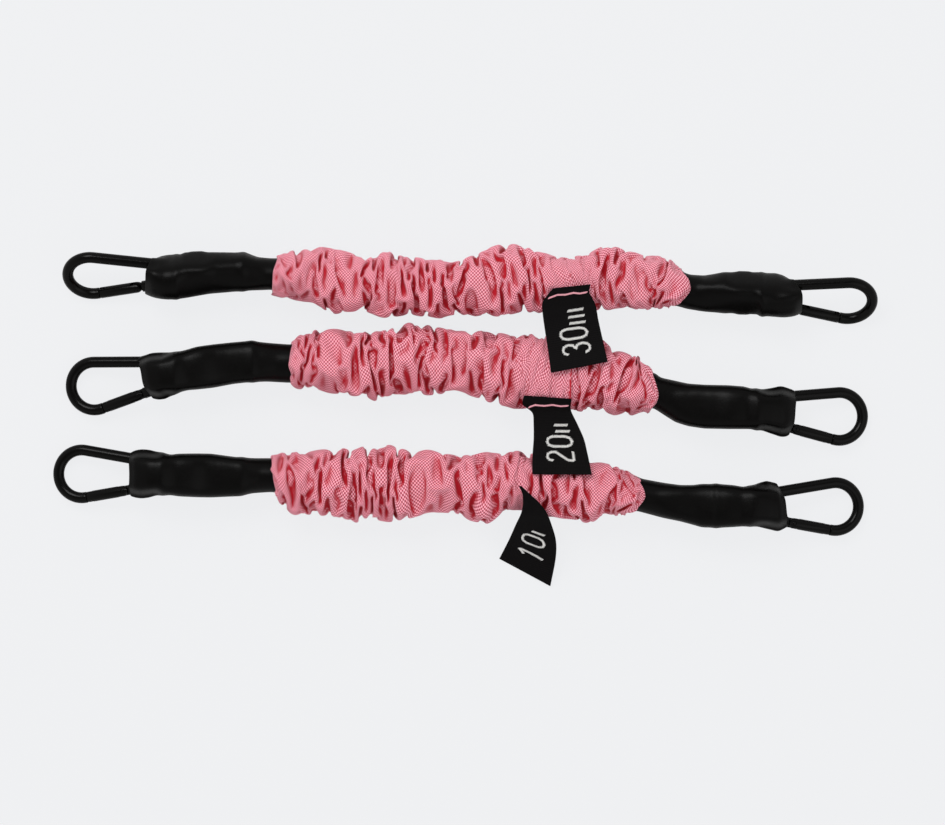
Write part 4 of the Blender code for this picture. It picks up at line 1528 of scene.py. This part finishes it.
    def settle(self) -> None:
        """Keep the gathered cloth as a plain mesh at real size, once refined."""
        simulated = self.obj.modifiers.get("Cloth") is not None
        refine = self.obj.modifiers.new("Refine", "SUBSURF")
        refine.levels = refine.render_levels = 1
        self.mesh = evaluated(self.obj)
        if simulated:
            self.mesh.transform(Matrix.Scale(1 / self.scale, 4))
            bpy.data.objects.remove(self.core, do_unlink=True)
        bpy.data.objects.remove(self.obj, do_unlink=True)

    def smooth_over(self, values: np.ndarray, rounds: int) -> np.ndarray:
        """Average a value per vertex with its neighbours.

        Args:
            values: The values.
            rounds: How many times.

        Returns:
            The smoother values.
        """
        edges = np.zeros(len(self.mesh.edges) * 2, dtype=np.int64)
        self.mesh.edges.foreach_get("vertices", edges)
        a, b = edges[::2], edges[1::2]

        def gathered(at: np.ndarray, weights: np.ndarray | None = None) -> np.ndarray:
            """Add up per vertex."""
            return np.bincount(at, weights=weights, minlength=len(values))

        count = gathered(a) + gathered(b)
        for _ in range(rounds):
            total = gathered(a, values[b]) + gathered(b, values[a])
            values = 0.5 * values + 0.5 * total / count
        return values

    def read(self, source: str) -> np.ndarray:
        """Return three values per vertex.

        Args:
            source: Which attribute of a vertex.

        Returns:
            One row per vertex.
        """
        values = np.zeros(len(self.mesh.vertices) * 3)
        self.mesh.vertices.foreach_get(source, values)
        return values.reshape(-1, 3)

    def keep(self, name: str, values: np.ndarray) -> None:
        """Store a value per vertex for the material."""
        layer = self.mesh.attributes.new(name, "FLOAT", "POINT")
        layer.data.foreach_set("value", values.astype(np.float32))

    def lay(self, labels: list[BVHTree]) -> None:
        """Bend the cloth along its band, fit its outline and press it on floor and labels.

        Args:
            labels: The labels of all bands.
        """
        rounds, ease, sink = 60, 0.003, 0.02
        co = self.read("co")
        radius = np.hypot(co[:, 1], co[:, 2])
        even = self.smooth_over(radius, rounds)
        rise = radius - even
        flat_top = self.panel * (1 - np.exp(-np.maximum(rise, 0) / self.panel))
        wanted = even + np.where(rise > 0, flat_top, rise * self.deepen)
        co[:, 1:] *= (wanted / radius)[:, None]
        self.flatten_by_label(co)
        s = self.start + (co[:, 0] / self.length + 0.5) * self.length
        centre = self.route.many(s)
        ahead = self.route.many(s + ease) - self.route.many(s - ease)
        side = np.stack([-ahead[:, 1], ahead[:, 0], np.zeros(len(s))], axis=1)
        side /= np.linalg.norm(side, axis=1)[:, None]
        out = centre + side * co[:, 1:2] + np.array([0, 0, 1.0]) * co[:, 2:3]
        self.slant_hems(out, s)
        self.fit(out, centre[:, 1])
        self.clear_core(out, centre, s)
        under = out[:, 2] < self.floor
        out[under, 2] = self.floor + (out[under, 2] - self.floor) * sink
        for tree in labels:
            self.press(out, tree)
        out[:, 2] = np.maximum(out[:, 2], self.floor / 2)
        self.mesh.vertices.foreach_set("co", out.ravel())
        self.mesh.update()
        self.mark_painted_crease_shade(out)
        self.mark_painted_pocket_shade(out)

    def x_of(self, world_x: float) -> float:
        """Turn a world X into a distance along the straight tube from its middle."""
        return self.route.at_x(world_x) - self.start - self.length / 2

    def flatten_by_label(self, co: np.ndarray) -> None:
        """Take the folds out of the upper side where the label's seam holds the cloth flat.

        Args:
            co: Points of the straight tube, which are changed.
        """
        low, high = (self.x_of(p[0]) for p in self.route.spec.label[0])
        margin, held_r, share = 0.006, 0.0119, 0.8
        inside = np.minimum(co[:, 0] - low + margin, high + margin - co[:, 0]) / margin
        upper = np.clip(np.sin(np.arctan2(co[:, 2], co[:, 1])) * 2.2, 0, 1)
        radius = np.hypot(co[:, 1], co[:, 2])
        new = radius + (held_r - radius) * (smooth_steps(inside) * upper * share)
        co[:, 1:] *= (new / radius)[:, None]

    def slant_hems(self, out: np.ndarray, s: np.ndarray) -> None:
        """Move the cloth near each end along X, so that the hems slant as in the photograph.

        Args:
            out: The cloth's points, which are changed.
            s: Their distances from the left tip.
        """
        half_height, power, reach = 0.0087, 1.5, 0.016
        for side, edge in ((Side.LEFT, self.start), (Side.RIGHT, self.stop)):
            place, direction, _, _ = self.route.frame(edge)
            high, middle, low = self.route.end(side).hem_x
            height = np.clip((out[:, 1] - place.y) / half_height, -1, 1)
            goal = (middle + (high - middle) * np.maximum(height, 0) ** power
                    + (low - middle) * np.maximum(-height, 0) ** power)
            ring = place.x - (out[:, 1] - place.y) * direction.y / direction.x
            out[:, 0] += (goal - ring) * smooth_steps(1 - np.abs(s - edge) / reach)

    def fit(self, out: np.ndarray, middle: np.ndarray) -> None:
        """Stretch the cloth sideways to the outline in the photograph.

        Args:
            out: The cloth's points, which are changed.
            middle: The Y of the band's line beside each point.
        """
        outline = np.array(self.route.spec.sleeve)
        step, window, pad, spread, blend = 0.0005, 3, 12, 0.0018, 0.016
        least, narrowest, widest = 0.004, 0.72, 1.4
        low, high = out[:, 0].min(), out[:, 0].max()
        grid = np.arange(low, high + step, step)
        bins = np.clip(((out[:, 0] - low) / step).astype(int), 0, len(grid) - 1)
        order = np.argsort(out[:, 0])
        middle_row = np.interp(grid, out[order, 0], middle[order])
        kernel = np.exp(-0.5 * (np.arange(-pad, pad + 1) * step / spread) ** 2)
        ratios = []
        for sign, column in ((1, 1), (-1, 2)):
            reach = np.full(len(grid), least)
            np.maximum.at(reach, bins, sign * (out[:, 1] - middle))
            reach = np.array([reach[max(i - window, 0):i + window + 1].max() for i in range(len(grid))])
            goal = sign * (np.interp(grid, outline[:, 0], outline[:, column]) - middle_row)
            padded = np.pad(np.clip(goal / reach, narrowest, widest), pad, mode="edge")
            ratios.append(np.convolve(padded, kernel / kernel.sum(), mode="valid"))
        share = smooth_steps(0.5 + (out[:, 1] - middle) / blend)
        ratio = (np.interp(out[:, 0], grid, ratios[0]) * share
                 + np.interp(out[:, 0], grid, ratios[1]) * (1 - share))
        out[:, 1] = middle + (out[:, 1] - middle) * ratio

    def clear_core(self, out: np.ndarray, centre: np.ndarray, s: np.ndarray) -> None:
        """Keep the cloth outside the tube and, near its ends, outside the cuffs.

        Args:
            out: The cloth's points, which are changed.
            centre: The points of the band's line beside them.
            s: Their distances from the left tip.
        """
        to_end = np.minimum(s - self.start, self.stop - s)
        past_cuff, by_cuff, over_tube = 0.001, 0.0081, 0.0009
        least = np.where(to_end < CUFF_TUCK + past_cuff, by_cuff, TUBE_D / 2 + over_tube)
        spoke = (out - centre)[:, 1:]
        reach = np.hypot(spoke[:, 0], spoke[:, 1])
        grow = np.maximum(least / np.maximum(reach, 1e-6), 1.0)
        out[:, 1:] = centre[:, 1:] + spoke * grow[:, None]

    @staticmethod
    def press(out: np.ndarray, tree: BVHTree) -> None:
        """Push the cloth below a label that lies on it, less the further from the label.

        Args:
            out: The cloth's points, which are changed.
            tree: The label.
        """
        gap, slope, reach, upper, far = 0.0007, 1.1, 0.006, AXIS_Z * 0.6, 0.02
        for k in np.nonzero(out[:, 2] > upper)[0]:
            near, _, _, _ = tree.find_nearest(Vector(out[k]), far)
            if near is None:
                continue
            aside = math.hypot(near.x - out[k, 0], near.y - out[k, 1])
            if aside < reach:
                out[k, 2] = min(out[k, 2], near.z - gap + slope * aside)

    def mark_painted_crease_shade(self, out: np.ndarray) -> None:
        """Store how sharply the cloth is bent inwards, the mask of the painted shade in its creases.

        Args:
            out: The cloth's points.
        """
        full, blunt = 0.00007, 0.15
        near = np.stack([self.smooth_over(out[:, k], 2) for k in range(3)], axis=1)
        bent = np.einsum("ij,ij->i", near - out, self.read("normal"))
        self.keep("crease", self.smooth_over(np.clip(bent / full - blunt, 0, 1), 1))

    def mark_painted_pocket_shade(self, out: np.ndarray) -> None:
        """Store how much of its surroundings the cloth's own folds hide from each point, the mask of
        the painted shade in its pockets.

        Args:
            out: The cloth's points.
        """
        tree = BVHTree.FromPolygons(out.tolist(), [tuple(f.vertices) for f in self.mesh.polygons])
        count, reach, lift, least, lean = 20, 0.008, 0.0003, 0.15, 0.5
        turns = [(k * self.GOLDEN_ANGLE, math.asin(1 - (k + 0.5) / (count / 2))) for k in range(count)]
        rays = np.array([(math.cos(a) * math.cos(b), math.sin(a) * math.cos(b), math.sin(b))
                         for a, b in turns])
        normals = self.read("normal")
        facing = normals @ rays.T
        # Rays towards +Y, where the key lamp hangs, count for more, so the painted shade is deepest
        # where that lamp's light is blocked.
        weight = np.where(facing > least, facing * (1 + lean * rays[:, 1]), 0)
        hidden = np.zeros(len(out))
        starts = out + normals * lift
        aims = [Vector(ray) for ray in rays]
        for k in range(len(out)):
            start = Vector(starts[k])
            for row in np.nonzero(weight[k])[0]:
                if tree.ray_cast(start, aims[row], reach)[0] is not None:
                    hidden[k] += weight[k, row]
        hidden /= np.maximum(weight.sum(axis=1), 1e-6)
        self.keep("hollow", self.smooth_over(hidden, 1))

    def half(self, side: Side) -> bmesh.types.BMesh:
        """Return the part on one side of the ring of the cloth that is nearest to the seam.

        Args:
            side: Which half.

        Returns:
            That half, with its hem turned in.
        """
        left = side is Side.LEFT
        cut_row = round((self.x_of(self.route.seam_x()) / self.length + 0.5) * self.rows)
        cut_v = cut_row / self.rows * self.flat_length
        bm = bmesh.new()
        bm.from_mesh(self.mesh)
        uv = bm.loops.layers.uv["cloth"]
        beyond = [f for f in bm.faces
                  if (sum(loop[uv].uv.y for loop in f.loops) / len(f.loops) > cut_v) == left]
        bmesh.ops.delete(bm, geom=beyond, context="FACES")
        self.turn_in_hem(bm, left)
        return bm

    def turn_in_hem(self, bm: bmesh.types.BMesh, left: bool) -> None:
        """Fold the free edge of the cloth in over the cuff.

        Args:
            bm: Half of the sleeve, which is changed.
            left: Whether it is the left half.
        """
        place, direction, _, _ = self.route.frame(self.start if left else self.stop)
        inward = direction if left else -direction
        near, most = 0.016, 0.2
        edges = [e for e in bm.edges if e.is_boundary and (e.verts[0].co - place).length < near]
        for shift, shrink in self.HEM:
            out = bmesh.ops.extrude_edge_only(bm, edges=edges)
            edges = [g for g in out["geom"] if isinstance(g, bmesh.types.BMEdge)]
            for vert in (g for g in out["geom"] if isinstance(g, bmesh.types.BMVert)):
                spoke = vert.co - place
                spoke -= direction * spoke.dot(direction)
                vert.co += inward * shift - spoke.normalized() * min(shrink, spoke.length * most)

    def build(self, finishes: Finishes, labels: list[BVHTree]) -> None:
        """Make both halves of the sleeve in place of the CAD node.

        Args:
            finishes: The set's finishes.
            labels: The labels of all bands.
        """
        name = self.route.spec.name
        self.lay(labels)
        seam = self.x_of(self.route.seam_x())
        for side, half_length in ((Side.LEFT, self.length / 2), (Side.RIGHT, -self.length / 2)):
            tag = self.route.tag(side)
            obj = add_piece(f"sleeve_{tag}", self.half(side), finishes.cloth, None, sharp=180)
            thicken(obj, self.thickness, -1.0)
            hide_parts(f"fabric_sleeve_{name}")
            self.route.stretch(obj, side)
            flat = abs(seam + half_length) / self.length * self.flat_length
        bpy.data.meshes.remove(self.mesh)


def gather(sleeves: list[GatheredSleeve], quick: bool) -> None:
    """Gather every sleeve.

    Args:
        sleeves: The sleeves, which are simulated side by side.
    """
    if quick:
        for sleeve in sleeves:
            sleeve.lay_out(gathers=False)
    else:
        for sleeve in sleeves:
            sleeve.prepare()
        scene = bpy.context.scene
        scene.frame_end = sleeves[0].frames
        for frame in range(1, scene.frame_end + 1):
            scene.frame_set(frame)
    for sleeve in sleeves:
        sleeve.settle()
    bpy.context.scene.frame_set(1)
    LOG.info("%d sleeves gathered", len(sleeves))


# The latex tube
@dataclass
class LatexTube:
    """The CAD tube, in two halves, pressed inside the cuffs."""

    route: Route
    inside: float = 0.0015

    def build(self, node: bpy.types.Object, finishes: Finishes) -> dict[Side, bpy.types.Object]:
        """Cut the CAD tube in two under the label.

        Args:
            node: The CAD tube.
            finishes: The set's finishes.

        Returns:
            Both halves.
        """
        halves = {}
        middle = self.route.point(self.route.at_x(self.route.seam_x()))
        for side in Side:
            bm = bmesh.new()
            bm.from_mesh(node.data)
            bmesh.ops.remove_doubles(bm, verts=bm.verts, dist=1e-6)
            bmesh.ops.bisect_plane(bm, geom=bm.verts[:] + bm.edges[:] + bm.faces[:], plane_co=middle,
                                   plane_no=(1, 0, 0), clear_outer=side is Side.LEFT,
                                   clear_inner=side is Side.RIGHT)
            bmesh.ops.bridge_loops(bm, edges=[e for e in bm.edges if e.is_boundary])
            outline = np.array(self.route.end(side).outline)
            for vert in bm.verts:
                if outline[0, 0] < vert.co.x < outline[-1, 0]:
                    top, bottom = (float(np.interp(vert.co.x, outline[:, 0], outline[:, k]))
                                   for k in (1, 2))
                    vert.co.y = min(max(vert.co.y, bottom + self.inside), top - self.inside)
            obj = add_piece(f"tube_{self.route.tag(side)}", bm, finishes.latex, None, sharp=50)
            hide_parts(f"latex_tube_{self.route.spec.name}")
            self.route.stretch(obj, side)
            halves[side] = obj
        return halves


# The woven label
GLYPHS = {
    "0": ((0.5, 0.0), (0.16, 0.06), (0.0, 0.24), (0.0, 0.76), (0.16, 0.94), (0.5, 1.0), (0.84, 0.94),
          (1.0, 0.76), (1.0, 0.24), (0.84, 0.06), (0.5, 0.0)),
    "1": ((0.18, 0.78), (0.55, 1.0), (0.55, 0.0)),
    "2": ((0.06, 0.80), (0.16, 0.94), (0.45, 1.0), (0.80, 0.96), (0.97, 0.82), (0.95, 0.66),
          (0.10, 0.24), (0.05, 0.03), (0.98, 0.03)),
    "3": ((0.04, 0.84), (0.20, 0.97), (0.5, 1.0), (0.84, 0.94), (0.97, 0.78), (0.86, 0.60),
          (0.50, 0.53), (0.88, 0.45), (1.0, 0.25), (0.84, 0.06), (0.5, 0.0), (0.18, 0.04),
          (0.02, 0.18)),
    "bar": ((0.5, 0.0), (0.5, 1.0)),
}


@dataclass
class WovenTag:
    """Label with its number in raised stitches, sewn to the sleeve by a row of pink thread.

    A stitch is its half length, half width and half height, the slant is in degrees from the
    row, and the seam's row is points at a share across and a distance from the seam.
    """

    route: Route
    columns: int = 48
    rows: int = 84
    thickness: float = 0.00055
    width: float = 0.025
    digit_tall: float = 0.0122
    digit_wide: float = 0.0043
    digit_at: tuple = (0.0082, 0.0148)
    bar_at: float = 0.0192
    bar_pitch: float = 0.0027
    bar_tall: float = 0.0070
    baseline: float = 0.0062
    stitch: tuple = (0.00075, 0.00022, 0.00020)
    stitch_pitch: float = 0.00050
    stitch_slant: float = 62
    seam_at: float = 0.0038
    seam_row: tuple = ((0.10, -0.0008), (0.25, 0.0002), (0.45, -0.0001), (0.62, 0.0004),
                       (0.78, -0.0002), (0.92, 0.0))
    seam_stitch: tuple = (0.0009, 0.00035, 0.00030)
    seam_pitch: float = 0.0007
    seam_slant: float = 18
    slack: float = 1.1

    def __post_init__(self) -> None:
        """Measure the label's length down its middle."""
        self.lefts = [Vector(left) for left, _ in self.route.spec.label]
        self.rights = [Vector(right) for _, right in self.route.spec.label]
        steps = 60
        self.at = distances([self.spot(0.5, i / steps) for i in range(steps + 1)])
        self.length = float(self.at[-1])

    def spot(self, across: float, down: float) -> Vector:
        """Return the point at a share across and a share of the rows down."""
        return through(self.lefts, down).lerp(through(self.rights, down), across)

    def down(self, up: float) -> float:
        """Turn a distance up from the lower edge into a share of the rows down."""
        return float(np.interp(self.length - up, self.at, np.linspace(0, 1, len(self.at))))

    def place(self, across: float, up: float, lift: float) -> Vector:
        """Return the point at a distance up from the lower edge, lifted off the label."""
        down = self.down(up)
        return self.spot(across, down) + self.normal(across, down) * lift

    def normal(self, across: float, down: float) -> Vector:
        """Return the label's upward normal.

        Args:
            across: Share across.
            down: Share of the rows down.

        Returns:
            The unit normal.
        """
        e = 0.01
        along = self.spot(across, min(down + e, 1)) - self.spot(across, max(down - e, 0))
        aside = self.spot(min(across + e, 1), down) - self.spot(max(across - e, 0), down)
        normal = along.cross(aside).normalized()
        return normal if normal.z > 0 else -normal

    def stitches(self, bm: bmesh.types.BMesh, path: list[tuple[float, float]], slant: float,
                 size: tuple[float, float, float], pitch: float, above: bool = True) -> None:
        """Sew a row of small raised stitches along a path on the label.

        Args:
            bm: Where they go.
            path: Points as (share across, distance from the lower edge).
            slant: Degrees between a stitch and the path.
            size: A stitch's half length, half width and half height.
            pitch: From one stitch to the next.
            above: Whether the stitches are on the label's upper side.
        """
        spots = [self.place(*p, 0.0001) for p in path]
        at = distances(spots)
        count = max(int(at[-1] / pitch), 1)
        lift = self.thickness / 2 if above else -self.thickness / 2
        turn = Matrix.Rotation(math.radians(slant), 4, "Z") @ Matrix.Diagonal((*size, 1.0))
        for i in range(count + 1):
            here = at[-1] * i / count
            k = min(int(np.searchsorted(at, here, side="right")) - 1, len(spots) - 2)
            share = (here - at[k]) / (at[k + 1] - at[k])
            across, up = (a + (b - a) * share for a, b in zip(path[k], path[k + 1]))
            normal = self.normal(across, self.down(up))
            along = (spots[k + 1] - spots[k]).normalized()
            along = (along - normal * along.dot(normal)).normalized()
            frame = Matrix((along, normal.cross(along), normal)).transposed().to_4x4()
            spot = Matrix.Translation(self.place(across, up, lift))
            bmesh.ops.create_uvsphere(bm, u_segments=8, v_segments=4, radius=1.0,
                                      matrix=spot @ frame @ turn)

    def glyph(self, name: str, reading_at: float, tall: float,
              wide: float) -> list[tuple[float, float]]:
        """Lay out a glyph, which reads up the label with its top towards the left edge.

        Args:
            name: Which glyph.
            reading_at: How far up the label its middle is.
            tall: Its height.
            wide: Its width.

        Returns:
            Its path as (share across, distance from the lower edge).
        """
        middle = self.baseline + self.digit_tall / 2
        points = [(self.baseline + y * tall, reading_at + (x - 0.5) * wide) for x, y in GLYPHS[name]]
        return [(1 - height / self.width, up + self.route.spec.slant * (height - middle))
                for height, up in points]

    def number(self) -> bmesh.types.BMesh:
        """Sew the number and the bars of its level.

        Returns:
            The stitches of both digits and of the bars.
        """
        spec = self.route.spec
        glyphs = [(digit, at, self.digit_tall, self.digit_wide)
                  for digit, at in zip(spec.name, self.digit_at)]
        glyphs += [("bar", self.bar_at + i * self.bar_pitch, self.bar_tall, 0)
                   for i in range(spec.level)]
        bm = bmesh.new()
        for name, at, tall, wide in glyphs:
            path = self.glyph(name, at * spec.reading, tall, wide * spec.reading)
            self.stitches(bm, path, self.stitch_slant, self.stitch, self.stitch_pitch)
        return bm

    def seam(self) -> bmesh.types.BMesh:
        """Sew the label on with a row of thread.

        Returns:
            The stitches.
        """
        bm = bmesh.new()
        row = [(across, self.length - self.seam_at + up) for across, up in self.seam_row]
        self.stitches(bm, row, self.seam_slant, self.seam_stitch, self.seam_pitch,
                      self.route.spec.seam_shows)
        return bm

    def build(self, finishes: Finishes) -> BVHTree:
        """Make the label, its number and its sewing in place of the CAD nodes.

        Args:
            finishes: The set's finishes.

        Returns:
            A search tree over the label.
        """
        name = self.route.spec.name
        cloth = bent_grid(self.columns, self.rows, lambda u, v: self.spot(u, 1 - v), closed=False,
                          flat=(self.width, self.length))
        sheet = add_piece(f"label_{name}", cloth, finishes.label, "set")
        thicken(sheet, self.thickness, 0.0)
        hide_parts(f"woven_tag_{name}")
        digits = add_piece(f"label_number_{name}", self.number(), finishes.yarn, "set")
        sewing = add_piece(f"label_sewing_{name}", self.seam(), finishes.thread, "set")
        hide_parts(f"tag_stitching_{name}")
        area = sum(p.area for p in sheet.data.polygons) * self.slack
        min(area, self.width * self.length)
        return tree_of([sheet])


# The studio
@dataclass(frozen=True)
class Lamp:
    """Square lamp that points at the middle of the set."""

    name: str
    place: tuple[float, float, float]
    size: float
    power: float

    def build(self) -> None:
        """Add the lamp."""
        data = bpy.data.lights.new(self.name, "AREA")
        data.size, data.energy = self.size, self.power
        lamp = linked(self.name, data)
        lamp.location = self.place
        lamp.rotation_euler = (-Vector(self.place)).to_track_quat("-Z", "Y").to_euler()


@dataclass(frozen=True)
class Studio:
    """Pale floor, soft light from all round and a long lens straight above."""

    centre: tuple = (0.00318, 0.00127)
    width: float = 0.4004
    distance: float = 3.0
    focus_z: float = 0.0125
    floor: tuple = (0.871, 0.879, 0.896)
    floor_half: float = 3.0
    evenness: float = 0.93
    around: float = 0.80
    overhead: float = 0.30
    lamps: tuple = (Lamp("key", (-0.6, 1.0, 1.6), 0.9, 21.0), Lamp("fill", (0.9, -0.5, 1.7), 1.6, 6.5))

    def backdrop(self) -> bpy.types.Material:
        """Return a floor that looks evenly pale to the camera and still takes a soft shadow.

        Returns:
            The material.
        """
        sheet = NodeSheet("backdrop")
        sheet.surface(Base_Color=(0.72, 0.72, 0.72), Roughness=0.95, Specular_IOR_Level=0.0)
        paper = sheet.value("ShaderNodeEmission", {"Color": self.floor, "Strength": 1.0})
        seen = sheet.value("ShaderNodeLightPath", {}, "Is Camera Ray") * self.evenness
        lit = Value(sheet, sheet.shader.outputs[0])
        mixed = sheet.value("ShaderNodeMixShader", {0: seen, 1: lit, 2: paper})
        sheet.feed(sheet.tree.nodes["Material Output"].inputs["Surface"], mixed)
        return sheet.owner

    def sky(self) -> bpy.types.World:
        """Return light from all round, dimmer straight above, where the camera hangs.

        Returns:
            The world.
        """
        sheet = NodeSheet("sky", "worlds")
        way = sheet.value("ShaderNodeTexCoord", {}, "Generated")
        height = sheet.value("ShaderNodeSeparateXYZ", {0: way}, 2)
        ramp = {"Value": height, "From Min": 0.60, "From Max": 0.97, "To Min": self.around,
                "To Max": self.overhead}
        strength = sheet.value("ShaderNodeMapRange", ramp, interpolation_type="SMOOTHSTEP")
        sheet.surface(Color=(1.0, 1.0, 1.0), Strength=strength)
        return sheet.owner

    def build(self) -> None:
        """Add the floor, the lights and the camera."""
        bm = bmesh.new()
        bmesh.ops.create_grid(bm, x_segments=1, y_segments=1, size=self.floor_half)
        add_piece("floor", bm, self.backdrop(), None)
        for lamp in self.lamps:
            lamp.build()
        scene = bpy.context.scene
        scene.world = self.sky()
        lens = bpy.data.cameras.new("camera")
        lens.lens = lens.sensor_width * self.distance / self.width
        lens.clip_end = 20.0
        scene.camera = linked("camera", lens)
        scene.camera.location = (*self.centre, self.focus_z + self.distance)
        scene.view_settings.view_transform = "Standard"


class BandSet:
    """The whole set, dressed over the CAD frame."""

    CARRIED = ("crimp_band", "gate_spring", "gate_plunger")

    def __init__(self, frame: dict) -> None:
        """Work out the routes and make the finishes.
        """
        self.nodes = frame["nodes"]
        self.routes = [Route(spec) for spec in BANDS]
        self.finishes = Finishes()

    def carry_over(self, tag: str) -> None:
        """Give the CAD nodes that stay at one end their finish.

        Args:
            tag: The band and side of that end.
        """
        for stem in self.CARRIED:
            node = self.nodes[f"{stem}_{tag}"]
            node.data.materials.clear()
            node.data.materials.append(self.finishes.steel)
            LOG.info("%s_%s: carried over", stem, tag)

    def build(self) -> None:
        """Make every piece."""
        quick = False
        sleeves = [GatheredSleeve(route, i, fullness=QUICK_FULLNESS if quick else FULLNESS)
                   for i, route in enumerate(self.routes)]
        gather(sleeves, quick)
        for route in self.routes:
            tubes = LatexTube(route).build(self.nodes[f"latex_tube_{route.spec.name}"], self.finishes)
            for side in Side:
                wire = SnapHook(route, side).build(self.finishes)
                band = self.nodes[f"crimp_band_{route.tag(side)}"]
                RubberCuff(route, side, tree_of([tubes[side], wire, band])).build(self.finishes)
        labels = [WovenTag(route).build(self.finishes) for route in self.routes]
        for sleeve in sleeves:
            sleeve.build(self.finishes, labels)
        for route in self.routes:
            for side in Side:
                self.carry_over(route.tag(side))


def main() -> None:
    """Load the frame, dress it and set up the photograph."""
    logging.basicConfig(level=logging.INFO, format="%(message)s")
    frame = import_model()
    BandSet(frame).build()
    Studio().build()


if __name__ == "__main__":
    main()
